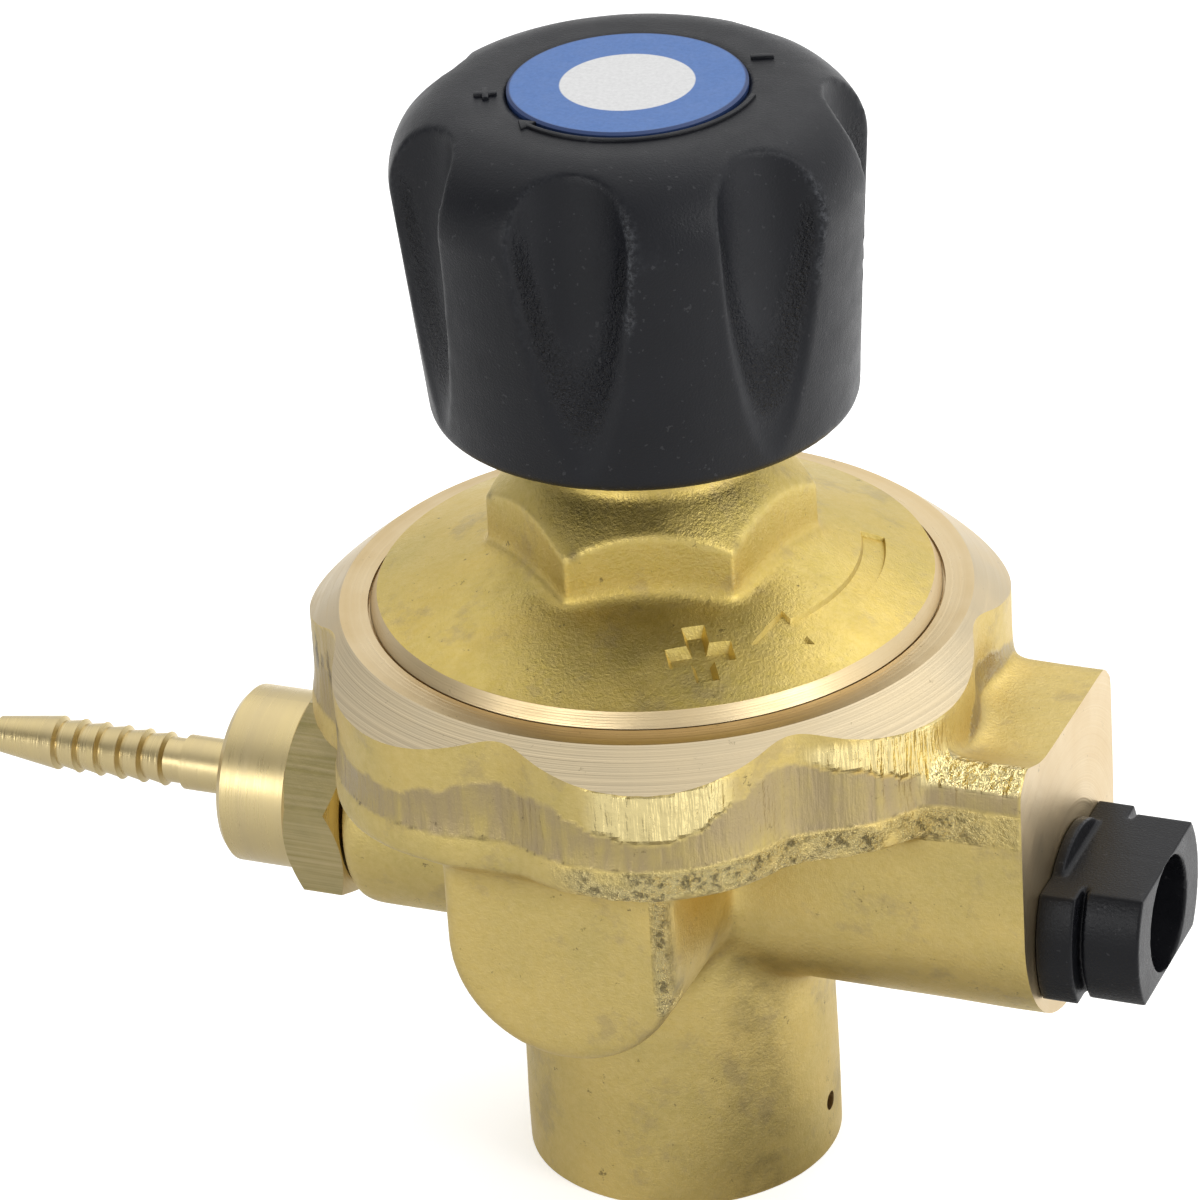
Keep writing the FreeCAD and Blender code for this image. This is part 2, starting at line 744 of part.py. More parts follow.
def coil(label, radius, wire, low, high, turns):
    """A round-wire compression spring about Z, which stands between two levels."""
    rise = high - low - (wire + seat_gap) * 2
    helix = doc.addObject("Part::Helix", label + "_helix")
    helix.setExpression("Radius", radius.text)
    helix.setExpression("Pitch", (rise / turns).text)
    helix.setExpression("Height", rise.text)
    section = doc.addObject("Part::Circle", label + "_wire")
    section.setExpression("Radius", wire.text)
    section.Placement = FreeCAD.Placement(Vector(0, 0, 0), FreeCAD.Rotation(Vector(1, 0, 0), 90))
    section.setExpression("Placement.Base.x", radius.text)
    spring = doc.addObject("Part::Sweep", label)
    spring.Sections = [section]
    spring.Spine = (helix, ["Edge1"])
    spring.Solid = True
    spring.Frenet = True
    return spring


regulating_spring = coil("regulating_spring", spring_radius, spring_wire, plate_top, button_bottom,
                         spring_turns)
place(regulating_spring, z=plate_top + spring_wire + seat_gap)

# Spring button, ball and spindle
simple_turned("spring_button", [
    (ZERO, button_bottom - spigot_height),
    (spigot_radius - edge_break, button_bottom - spigot_height),
    (spigot_radius, button_bottom - spigot_height + edge_break),
    (spigot_radius, button_bottom),
    (button_radius, button_bottom),
    (button_radius, button_top - edge_break),
    (button_radius - edge_break, button_top),
    (ball_radius + curved_gap, button_top),
    (ball_radius + curved_gap, ball_centre - ball_radius),
    (ZERO, ball_centre - ball_radius),
])
simple_turned("thrust_ball", [
    (ZERO, ball_centre - ball_radius),
    (ZERO, ball_centre + ball_radius, ball_radius, -1),
])
spindle = new_body("spindle")
screw_bottom = drive_top - screw_length
turn(spindle, "spindle_turned", [
    (ZERO, collar_bottom),
    (collar_radius, collar_bottom),
    (collar_radius, collar_top),
    (spindle_hole - thread_gap, collar_top),
    (spindle_hole - thread_gap, hub_bottom - edge_break),
    (spindle_hole - thread_gap - edge_break, hub_bottom),
    (ZERO, hub_bottom),
])
drive_sketch = new_sketch(spindle, "drive_section", "XY_Plane", lift=hub_bottom)
draw(drive_sketch, hexagon(drive_flats))
extrude(spindle, "drive", drive_sketch, drive_top - hub_bottom)
turn(spindle, "screw_hole", [
    (ZERO, screw_bottom - overrun),
    (screw_shank + running_gap, screw_bottom - overrun),
    (screw_shank + running_gap, drive_top + overrun),
    (ZERO, drive_top + overrun),
], cut=True)
place(spindle, turn_z=flute_phase)
simple_turned("knob_screw", [
    (ZERO, screw_bottom),
    (screw_shank, screw_bottom),
    (screw_shank, screw_head_bottom),
    (screw_head, screw_head_bottom),
    (screw_head, screw_head_top - edge_break),
    (screw_head - edge_break, screw_head_top),
    (ZERO, screw_head_top),
])

# Knob
knob = new_body("adjusting_knob")
inner_top = flute_depth_top - knob_wall
inner_bottom = knob_bottom_radius - knob_wall
turn(knob, "knob_turned", [
    (inner_bottom, knob_bottom),
    (knob_bottom_radius - edge_break, knob_bottom),
    (knob_bottom_radius, knob_bottom + edge_break),
    (knob_top_radius, knob_top - shoulder_radius),
    (knob_top_radius - shoulder_radius, knob_top, shoulder_radius, -1),
    (ZERO, knob_top),
    (ZERO, hub_bottom),
    (hub_radius, hub_bottom),
    (hub_radius, knob_ceiling),
    (inner_top, knob_ceiling),
])
rib_sketch = new_sketch(knob, "rib_section", "XY_Plane", lift=knob_ceiling - rib_height)
draw(rib_sketch, [
    (hub_radius - rib_bite, -rib_thickness * 0.5),
    (inner_top + rib_bite, -rib_thickness * 0.5),
    (inner_top + rib_bite, rib_thickness * 0.5),
    (hub_radius - rib_bite, rib_thickness * 0.5),
])
rib = extrude(knob, "rib", rib_sketch, rib_height + rib_bite)
ring_of(knob, "rib_ring", rib, flute_count)
flute_rise = knob_top - knob_bottom
flute_tilt = math.degrees(math.atan2(flute_depth_bottom.value - flute_depth_top.value, flute_rise.value))
flute = knob.newObject("PartDesign::SubtractiveCylinder", "flute")
flute.setExpression("Radius", flute_radius.text)
flute.setExpression("Height", (flute_rise + flute_radius).text)
flute.Placement = FreeCAD.Placement(Vector(0, 0, 0), FreeCAD.Rotation(Vector(0, 1, 0), -flute_tilt))
flute.setExpression("Placement.Base.x", (flute_depth_bottom + flute_radius).text)
flute.setExpression("Placement.Base.z", knob_bottom.text)
ring_of(knob, "flute_ring", flute, flute_count)
turn(knob, "disc_seat", [
    (ZERO, screw_head_bottom),
    (screw_head + curved_gap, screw_head_bottom),
    (screw_head + curved_gap, disc_bottom),
    (disc_radius + running_gap, disc_bottom),
    (disc_radius + running_gap, knob_top + overrun),
    (ZERO, knob_top + overrun),
], cut=True)
socket_sketch = new_sketch(knob, "drive_socket", "XY_Plane", lift=hub_bottom - overrun)
draw(socket_sketch, hexagon(drive_flats + running_gap * 2))
extrude(knob, "drive_pocket", socket_sketch, drive_top + seat_gap + overrun - hub_bottom, cut=True, back=True)
turn(knob, "shank_hole", [
    (ZERO, drive_top - overrun),
    (screw_shank + running_gap * 2, drive_top - overrun),
    (screw_shank + running_gap * 2, screw_head_bottom + overrun),
    (ZERO, screw_head_bottom + overrun),
], cut=True)
place(knob, turn_z=flute_phase)
simple_turned("knob_disc", [
    (ZERO, disc_bottom),
    (disc_radius, disc_bottom),
    (disc_radius, disc_top - disc_edge),
    (disc_radius - disc_edge, disc_top),
    (ZERO, disc_top),
])

# Valve
valve_seat = new_body("valve_seat")
orifice_top = seat_bottom + orifice_length
pin_bore_bottom = orifice_top + overrun
turn(valve_seat, "seat_turned", [
    (pin_radius + running_gap, well_floor + seat_hex_height),
    (pin_radius + running_gap, pin_bore_bottom),
    (orifice_radius, orifice_top),
    (orifice_radius, seat_bottom),
    (orifice_radius + seat_lip, seat_bottom),
    (orifice_radius + seat_lip * 2, seat_bottom + seat_lip_height),
    (seat_thread, seat_bottom + seat_lip_height),
    (seat_thread, well_floor + seat_hex_height),
])
seat_sketch = new_sketch(valve_seat, "seat_hex_section", "XY_Plane", lift=well_floor)
draw(seat_sketch, hexagon(seat_flats))
extrude(valve_seat, "seat_hex", seat_sketch, seat_hex_height)
turn(valve_seat, "seat_bore", [
    (ZERO, pin_bore_bottom),
    (pin_radius + running_gap, pin_bore_bottom),
    (pin_radius + running_gap, well_floor + seat_hex_height + overrun),
    (ZERO, well_floor + seat_hex_height + overrun),
], cut=True)
simple_turned("valve_pin", ring(ZERO, pin_radius, pad_top, stud_end))
simple_turned("valve_poppet", [
    (ZERO, poppet_bottom - poppet_guide_length),
    (poppet_guide, poppet_bottom - poppet_guide_length),
    (poppet_guide, poppet_bottom),
    (poppet_radius, poppet_bottom),
    (poppet_radius, pad_top),
    (pad_radius + seat_gap, pad_top),
    (pad_radius + seat_gap, pad_top - pad_thickness),
    (ZERO, pad_top - pad_thickness),
])
simple_turned("seat_pad", ring(ZERO, pad_radius, pad_top - pad_thickness, pad_top))
retainer_lip = retainer_top - retainer_lip_depth
poppet_spring = coil("poppet_spring", poppet_spring_radius, poppet_wire, retainer_lip, poppet_bottom,
                     poppet_turns)
place(poppet_spring, z=retainer_lip + poppet_wire + seat_gap)

# Inlet pieces
simple_turned("spring_retainer", [
    (passage_radius, gasket_top + filter_height),
    (filter_radius, gasket_top + filter_height),
    (filter_radius, gasket_top),
    (retainer_radius, gasket_top),
    (retainer_radius, retainer_top),
    (poppet_spring_radius + poppet_wire + curved_gap, retainer_top),
    (poppet_spring_radius + poppet_wire + curved_gap, retainer_lip),
    (passage_radius, retainer_lip),
])
simple_turned("inlet_filter", ring(ZERO, filter_radius - seat_gap, gasket_top,
                                   gasket_top + filter_height - seat_gap))
simple_turned("inlet_probe", [
    (passage_radius, probe_tip),
    (probe_radius, probe_tip),
    (probe_radius, gasket_top - probe_flange_height),
    (probe_flange, gasket_top - probe_flange_height),
    (probe_flange, gasket_top),
    (passage_radius, gasket_top),
])
simple_turned("inlet_gasket", ring(probe_flange + running_gap, gasket_radius, gasket_bottom, gasket_top))

# Outlet pieces, drawn along +X and turned to -X
nut_start = outlet_face + nut_gap
nipple_start = outlet_face + washer_ring
tail_seat = nut_start + nut_hex_length + nut_collar_length - nut_wall - tail_head_length
nut_inner = tail_seat + tail_head_length
cross_turned("outlet_gasket", cross_ring(outlet_thread + running_gap, washer_ring_radius, outlet_face,
                                         nipple_start), outlet_axis, mirrored=True)
cross_turned("outlet_nipple", [
    (outlet_bottom + seat_gap, outlet_passage),
    (outlet_bottom + seat_gap, outlet_thread - thread_gap),
    (nipple_start, outlet_thread - thread_gap),
    (nipple_start, nipple_radius),
    (tail_seat, nipple_radius),
    (tail_seat, tail_journal + tail_cone_width),
    (tail_seat - tail_cone_length, outlet_passage),
], outlet_axis, mirrored=True)
nut = new_body("union_nut")
nut_section = new_sketch(nut, "nut_section", "YZ_Plane", lift=nut_start)
draw(nut_section, hexagon(nut_flats, nut_turn))
extrude(nut, "nut_hex", nut_section, nut_hex_length)
nut_corner = nut_flats * (1 / math.sqrt(3))
nut_face = nut_flats * 0.5 - nut_edge
nut_reach = nut_corner + overrun
for side_name, face_at, into in (("inner", nut_start, nut_chamfer),
                                 ("outer", nut_start + nut_hex_length, -nut_chamfer)):
    slope = into / (nut_corner - nut_face)
    turn(nut, side_name + "_chamfer", [
        (face_at, nut_face),
        (face_at + (nut_reach - nut_face) * slope, nut_reach),
        (face_at - into, nut_reach),
        (face_at - into, nut_face),
    ], axis="H_Axis", cut=True)
nut_collar_start = nut_start + nut_hex_length
nut_end = nut_collar_start + nut_collar_length
turn(nut, "nut_collar", [
    (nut_collar_start - overrun, ZERO),
    (nut_end, ZERO),
    (nut_end, nut_collar_radius - edge_break),
    (nut_end - edge_break, nut_collar_radius),
    (nut_collar_start - overrun, nut_collar_radius),
], axis="H_Axis")
turn(nut, "nut_bore", [
    (nut_start - overrun, ZERO),
    (nut_end + overrun, ZERO),
    (nut_end + overrun, tail_journal + running_gap),
    (nut_inner, tail_journal + running_gap),
    (nut_inner, nipple_radius + thread_gap),
    (nut_start - overrun, nipple_radius + thread_gap),
], axis="H_Axis", cut=True)
nut.Placement = FreeCAD.Placement(Vector(0, 0, 0), FreeCAD.Rotation(Vector(0, 0, 1), 180))
place(nut, z=outlet_axis)

tail_outline = [
    (tail_seat, tail_bore),
    (tail_tip, tail_bore),
    (tail_tip, tail_tip_radius),
]
for index in range(barb_count - 1, -1, -1):
    barb_edge = barb_first + barb_pitch * index
    barb_foot = barb_first + barb_pitch * (index - 1) if index else tail_neck_start
    tail_outline.append((barb_edge, barb_radius))
    tail_outline.append((barb_edge - barb_back, tail_neck))
    if index:
        tail_outline.append((barb_foot + barb_crest, barb_radius - barb_crest))
tail_outline += [
    (tail_neck_start, tail_neck),
    (tail_neck_start, tail_radius),
    (nut_end, tail_radius),
    (nut_end, tail_journal),
    (nut_inner, tail_journal),
    (nut_inner, nipple_radius - curved_gap),
    (tail_seat + edge_break, nipple_radius - curved_gap),
    (tail_seat, nipple_radius - curved_gap - edge_break),
]
cross_turned("hose_tail", tail_outline, outlet_axis, mirrored=True)

# Relief valve, along +X
relief_back = relief_pad_face + relief_poppet_length
screw_outer = cap_end - relief_screw_sink
screw_inner = screw_outer - relief_screw_length
cross_turned("relief_poppet", [
    (relief_pad_face + pad_thickness, ZERO),
    (relief_back + relief_guide_length, ZERO),
    (relief_back + relief_guide_length, relief_spring_radius - relief_wire - curved_gap),
    (relief_back, relief_spring_radius - relief_wire - curved_gap),
    (relief_back, relief_poppet_radius),
    (relief_pad_face, relief_poppet_radius),
    (relief_pad_face, relief_pad_radius + seat_gap),
    (relief_pad_face + pad_thickness, relief_pad_radius + seat_gap),
], relief_axis)
cross_turned("relief_pad", cross_ring(ZERO, relief_pad_radius, relief_pad_face,
                                      relief_pad_face + pad_thickness), relief_axis)
relief_spring = coil("relief_spring", relief_spring_radius, relief_wire, relief_back, screw_inner,
                     relief_turns)
relief_spring.Placement = FreeCAD.Placement(Vector(0, 0, 0), FreeCAD.Rotation(Vector(0, 1, 0), 90))
place(relief_spring, x=relief_back + relief_wire + seat_gap, z=relief_axis)
relief_screw = new_body("relief_screw")
turn(relief_screw, "screw_turned", [
    (screw_inner, ZERO),
    (screw_outer, ZERO),
    (screw_outer, screw_radius - edge_break),
    (screw_outer - edge_break, screw_radius),
    (screw_inner, screw_radius),
], axis="H_Axis")
key_sketch = new_sketch(relief_screw, "key_section", "YZ_Plane", lift=screw_outer - relief_key_depth)
draw(key_sketch, hexagon(relief_key))
extrude(relief_screw, "key_pocket", key_sketch, relief_key_depth + overrun, cut=True, back=True)
place(relief_screw, z=relief_axis)

cap = new_body("relief_cap")
half_flat = cap_flats * 0.5


def double_flat(radius):
    """A round section with a flat above and a flat below."""
    reach = Size(math.sqrt(radius.value ** 2 - half_flat.value ** 2),
                 "sqrt(%s * %s - %s * %s)" % (radius.text, radius.text, half_flat.text, half_flat.text))
    return [
        (-reach, half_flat),
        (-reach, -half_flat, radius, -1),
        (reach, -half_flat),
        (reach, half_flat, radius, -1),
    ]


for grip_name, grip_radius, grip_start, grip_length in (
        ("cap_flange", cap_flange_radius, block_end, cap_flange),
        ("cap_grip", cap_radius, block_end, cap_length)):
    grip_sketch = new_sketch(cap, grip_name + "_section", "YZ_Plane", lift=grip_start)
    draw(grip_sketch, double_flat(grip_radius))
    extrude(cap, grip_name, grip_sketch, grip_length)
cap_spigot_end = block_end - relief_thread_depth + curved_gap
turn(cap, "cap_spigot", [
    (cap_spigot_end, ZERO),
    (block_end + overrun, ZERO),
    (block_end + overrun, relief_thread - thread_gap),
    (cap_spigot_end, relief_thread - thread_gap),
], axis="H_Axis")
turn(cap, "cap_collar", [
    (block_end, ZERO),
    (block_end + cap_collar, ZERO),
    (block_end + cap_collar, cap_collar_radius),
    (block_end, cap_collar_radius),
], axis="H_Axis")
turn(cap, "cap_groove", [
    (block_end + cap_flange, cap_groove_radius),
    (block_end + cap_flange + cap_groove, cap_groove_radius),
    (block_end + cap_flange + cap_groove, cap_flange_radius + overrun),
    (block_end + cap_flange, cap_flange_radius + overrun),
], axis="H_Axis", cut=True)
turn(cap, "cap_bore", [
    (cap_spigot_end - overrun, ZERO),
    (cap_end + overrun, ZERO),
    (cap_end + overrun, cap_recess_radius),
    (cap_end - cap_recess_depth, cap_recess_radius),
    (cap_end - cap_recess_depth, cap_bore),
    (cap_spigot_end - overrun, cap_bore),
], axis="H_Axis", cut=True)
place(cap, z=relief_axis)

doc.recompute()

pieces = [item for item in doc.Objects if item.isDerivedFrom("PartDesign::Body")]
pieces += [regulating_spring, poppet_spring, relief_spring]
failed = [item.Label for item in doc.Objects if "Invalid" in item.State or "Error" in item.State]
if failed:
    raise RuntimeError("did not compute: " + ", ".join(failed))
os.makedirs("parts", exist_ok=True)
for piece in pieces:
    shape = piece.Shape
    if shape.isNull() or not shape.isValid():
        raise RuntimeError("%s has no valid shape" % piece.Label)
    print("%-20s solids %d volume %.1f" % (piece.Label, len(shape.Solids), shape.Volume))
    shape.exportStep("parts/%s.step" % piece.Label)
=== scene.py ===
"""Looks of the oxygen regulator: forged and turned brass, a moulded knob and a moulded relief cap.

The forgings are made as in the shop. The CAD solid is filled and given stock, its edges and corners
are softened, and then the machined faces are cut back to the CAD's own sizes.
Lengths in this script are in millimetres until a mesh is finished.
"""
import json
import math

import bmesh
import bpy
import numpy as np
from mathutils import Matrix, Vector, noise


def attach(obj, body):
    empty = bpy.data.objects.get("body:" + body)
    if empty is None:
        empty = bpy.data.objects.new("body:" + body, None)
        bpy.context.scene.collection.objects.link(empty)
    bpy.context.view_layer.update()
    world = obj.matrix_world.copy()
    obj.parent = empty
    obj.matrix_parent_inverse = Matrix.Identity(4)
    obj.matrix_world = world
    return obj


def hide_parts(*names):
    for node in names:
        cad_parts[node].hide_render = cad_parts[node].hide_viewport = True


MM = 0.001
SOCKET_RADIUS = 13.55
FLANGE_TOP = 52.9
CHAMFER_START, CHAMFER_FOOT = (26.6, FLANGE_TOP), (31.4, 49.0)
OUTLET_HEIGHT = 29.0
RELIEF_HEIGHT = 28.5
BLOCK_FACE = 35.8

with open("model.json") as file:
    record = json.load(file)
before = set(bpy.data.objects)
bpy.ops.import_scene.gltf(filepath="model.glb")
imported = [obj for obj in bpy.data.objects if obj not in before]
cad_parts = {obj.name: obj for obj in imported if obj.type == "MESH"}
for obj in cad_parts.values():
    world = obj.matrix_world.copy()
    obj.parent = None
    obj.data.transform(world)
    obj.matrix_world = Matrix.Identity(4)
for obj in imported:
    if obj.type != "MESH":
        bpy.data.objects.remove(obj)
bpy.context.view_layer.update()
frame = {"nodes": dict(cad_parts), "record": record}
nodes = frame["nodes"]


# Mesh tools

def mesh_object(name, vertices, faces):
    """A mesh object in millimetres, with its faces turned outwards."""
    mesh = bpy.data.meshes.new(name)
    mesh.from_pydata([tuple(v) for v in vertices], [], faces)
    work = bmesh.new()
    work.from_mesh(mesh)
    bmesh.ops.recalc_face_normals(work, faces=work.faces)
    work.to_mesh(mesh)
    work.free()
    obj = bpy.data.objects.new(name, mesh)
    bpy.context.scene.collection.objects.link(obj)
    return obj


def turned(name, outline, segments=180, axis="Z", offset=0.0):
    """A closed solid of revolution. The outline is a closed loop of (radius, height)."""
    vertices, rings, faces = [], [], []
    for radius, height in outline:
        if radius < 1e-6:
            rings.append([len(vertices)])
            vertices.append((0.0, 0.0, height))
            continue
        rings.append(list(range(len(vertices), len(vertices) + segments)))
        for k in range(segments):
            angle = 2 * math.pi * k / segments
            vertices.append((radius * math.cos(angle), radius * math.sin(angle), height))
    for a, b in zip(rings, rings[1:] + rings[:1]):
        for k in range(segments):
            n = (k + 1) % segments
            if len(a) > 1 and len(b) > 1:
                faces.append((a[k], a[n], b[n], b[k]))
            elif len(a) > 1:
                faces.append((a[k], a[n], b[0]))
            elif len(b) > 1:
                faces.append((b[n], b[k], a[0]))
    if axis == "X":
        vertices = [(z, x, y + offset) for x, y, z in vertices]
    return mesh_object(name, vertices, faces)


def prism(name, outline, low, high, axis="Z"):
    """A closed prism over a plane outline, along Z, or along X with the outline in (y, z)."""
    count = len(outline)
    vertices = [(u, v, low) for u, v in outline] + [(u, v, high) for u, v in outline]
    faces = [tuple(range(count)), tuple(range(2 * count - 1, count - 1, -1))]
    for k in range(count):
        n = (k + 1) % count
        faces.append((k, n, n + count, k + count))
    if axis == "X":
        vertices = [(w, u, v) for u, v, w in vertices]
    return mesh_object(name, vertices, faces)


def rotated(outline, degrees):
    """A plane outline turned about the origin."""
    angle = math.radians(degrees)
    return [(u * math.cos(angle) - v * math.sin(angle), u * math.sin(angle) + v * math.cos(angle))
            for u, v in outline]


def cad_copy(node, name):
    """A copy of a CAD node's mesh, in millimetres, with its seams joined."""
    obj = nodes[node].copy()
    obj.data = nodes[node].data.copy()
    obj.name = name
    obj.parent = None
    for key in list(obj.keys()):
        del obj[key]
    bpy.context.scene.collection.objects.link(obj)
    obj.data.transform(Matrix.Scale(1 / MM, 4))
    work = bmesh.new()
    work.from_mesh(obj.data)
    bmesh.ops.remove_doubles(work, verts=work.verts, dist=1e-3)
    work.to_mesh(obj.data)
    work.free()
    obj.data.materials.clear()
    return obj


def apply_modifiers(obj):
    graph = bpy.context.evaluated_depsgraph_get()
    graph.update()
    mesh = bpy.data.meshes.new_from_object(obj.evaluated_get(graph))
    obj.modifiers.clear()
    old = obj.data
    obj.data = mesh
    bpy.data.meshes.remove(old)


def fuse(name, parts, voxel):
    """One skin round all the parts, and nothing of what is inside it."""
    work = bmesh.new()
    for part in parts:
        work.from_mesh(part.data)
        old = part.data
        bpy.data.objects.remove(part)
        bpy.data.meshes.remove(old)
    mesh = bpy.data.meshes.new(name)
    work.to_mesh(mesh)
    work.free()
    obj = bpy.data.objects.new(name, mesh)
    bpy.context.scene.collection.objects.link(obj)
    remesh = obj.modifiers.new("skin", "REMESH")
    remesh.mode = "VOXEL"
    remesh.voxel_size = voxel
    apply_modifiers(obj)
    keep_largest(obj)
    return obj


def keep_largest(obj):
    """Drops closed pockets, so that only the outer skin is left."""
    work = bmesh.new()
    work.from_mesh(obj.data)
    work.verts.ensure_lookup_table()
    seen, groups = set(), []
    for vertex in work.verts:
        if vertex.index in seen:
            continue
        seen.add(vertex.index)
        group, stack = [], [vertex]
        while stack:
            here = stack.pop()
            group.append(here)
            for edge in here.link_edges:
                there = edge.other_vert(here)
                if there.index not in seen:
                    seen.add(there.index)
                    stack.append(there)
        groups.append(group)
    groups.sort(key=len)
    for group in groups[:-1]:
        bmesh.ops.delete(work, geom=group, context="VERTS")
    work.to_mesh(obj.data)
    work.free()


def points_of(obj):
    points = np.empty(len(obj.data.vertices) * 3)
    obj.data.vertices.foreach_get("co", points)
    return points.reshape(-1, 3)


def set_points(obj, points):
    obj.data.vertices.foreach_set("co", points.astype(np.float32).ravel())
    obj.data.update()


def normals_of(obj):
    normals = np.empty(len(obj.data.vertices) * 3, np.float32)
    obj.data.vertex_normals.foreach_get("vector", normals)
    return normals.reshape(-1, 3).astype(float)


def edges_of(obj):
    edges = np.empty(len(obj.data.edges) * 2, np.int32)
    obj.data.edges.foreach_get("vertices", edges)
    return edges.reshape(-1, 2)


def neighbour_mean(values, edges):
    total = np.zeros_like(values)
    count = np.zeros(len(values))
    for a, b in ((0, 1), (1, 0)):
        np.add.at(total, edges[:, a], values[edges[:, b]])
        np.add.at(count, edges[:, a], 1)
    if values.ndim == 2:
        count = count[:, None]
    return total / np.maximum(count, 1)


def soften(obj, everywhere, hollows):
    """Rounds all edges over some passes, then fills only the inner corners over more."""
    edges = edges_of(obj)
    points = points_of(obj)
    for _ in range(everywhere):
        points += 0.6 * (neighbour_mean(points, edges) - points)
    set_points(obj, points)
    for step in range(hollows):
        if step % 6 == 0:
            normals = normals_of(obj)
        pull = neighbour_mean(points, edges) - points
        out = np.maximum((pull * normals).sum(1), 0)
        points += normals * out[:, None] * 0.9 + 0.15 * pull
        set_points(obj, points)


def fractal(points, scale, octaves=3, seed=0.0):
    shift = Vector((seed, seed * 1.7, seed * 2.3))
    return np.array([noise.fractal(Vector(p) / scale + shift, 1.0, 2.0, octaves) for p in points])


def roughen(obj, amounts, scale, octaves=3, seed=0.0):
    """Moves the skin in and out by a fractal noise of the given scale."""
    points = points_of(obj)
    wave = fractal(points, scale, octaves, seed)
    set_points(obj, points + normals_of(obj) * (wave * amounts)[:, None])


def mark(obj, name, values):
    """Stores a mask on the points, which the materials read."""
    layer = obj.data.attributes.new(name, "FLOAT", "POINT")
    layer.data.foreach_set("value", np.clip(values, 0, 1).astype(np.float32))


def mark_edges(obj, strength, spread=2, amber=()):
    """Masks of the raised edges, where they are worn and where a painted highlight is laid, and of the hollows
    and other places that get painted amber shade.
    """
    edges = edges_of(obj)
    points = points_of(obj)
    pull = neighbour_mean(points, edges) - points
    bend = (pull * normals_of(obj)).sum(1)
    for _ in range(spread):
        bend = 0.4 * bend + 0.6 * neighbour_mean(bend, edges)
    mark(obj, "wear_and_highlight", -bend * strength - 0.12)
    hollow_shade = bend * strength
    # Painted amber shade: extra spots where shade falls between parts and under the ledge.
    for place, size, most in amber:
        hollow_shade = np.maximum(hollow_shade, most * np.exp(-((points - np.array(place)) ** 2).sum(1) / size ** 2))
    mark(obj, "hollow_shade", hollow_shade)


def ramp(values, low, high):
    t = np.clip((values - low) / (high - low), 0, 1)
    return t * t * (3 - 2 * t)


def window(values, low, high, soft):
    return ramp(values, low - soft, low + soft) * (1 - ramp(values, high - soft, high + soft))


def carve(obj, cutter, operation="DIFFERENCE"):
    """Cuts with another solid, whose material stays on the cut faces."""
    cut = obj.modifiers.new("cut", "BOOLEAN")
    cut.operation = operation
    cut.solver = "MANIFOLD"
    cut.object = cutter
    cut.material_mode = "TRANSFER"
    apply_modifiers(obj)
    old = cutter.data
    bpy.data.objects.remove(cutter)
    bpy.data.meshes.remove(old)


def finish_piece(obj, material, node, body, angle=32):
    """Metres, smooth shading up to the given edge angle, and the piece's place in the frame."""
    if material is not None:
        obj.data.materials.clear()
        obj.data.materials.append(material)
    obj.data.transform(Matrix.Scale(MM, 4))
    obj.data.polygons.foreach_set("use_smooth", [True] * len(obj.data.polygons))
    obj.data.set_sharp_from_angle(angle=math.radians(angle))
    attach(obj, body)
    if node:
        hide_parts(node)


# Material tools

def new_material(name):
    material = bpy.data.materials.new(name)
    material.use_nodes = True
    return material, Shader(material.node_tree)


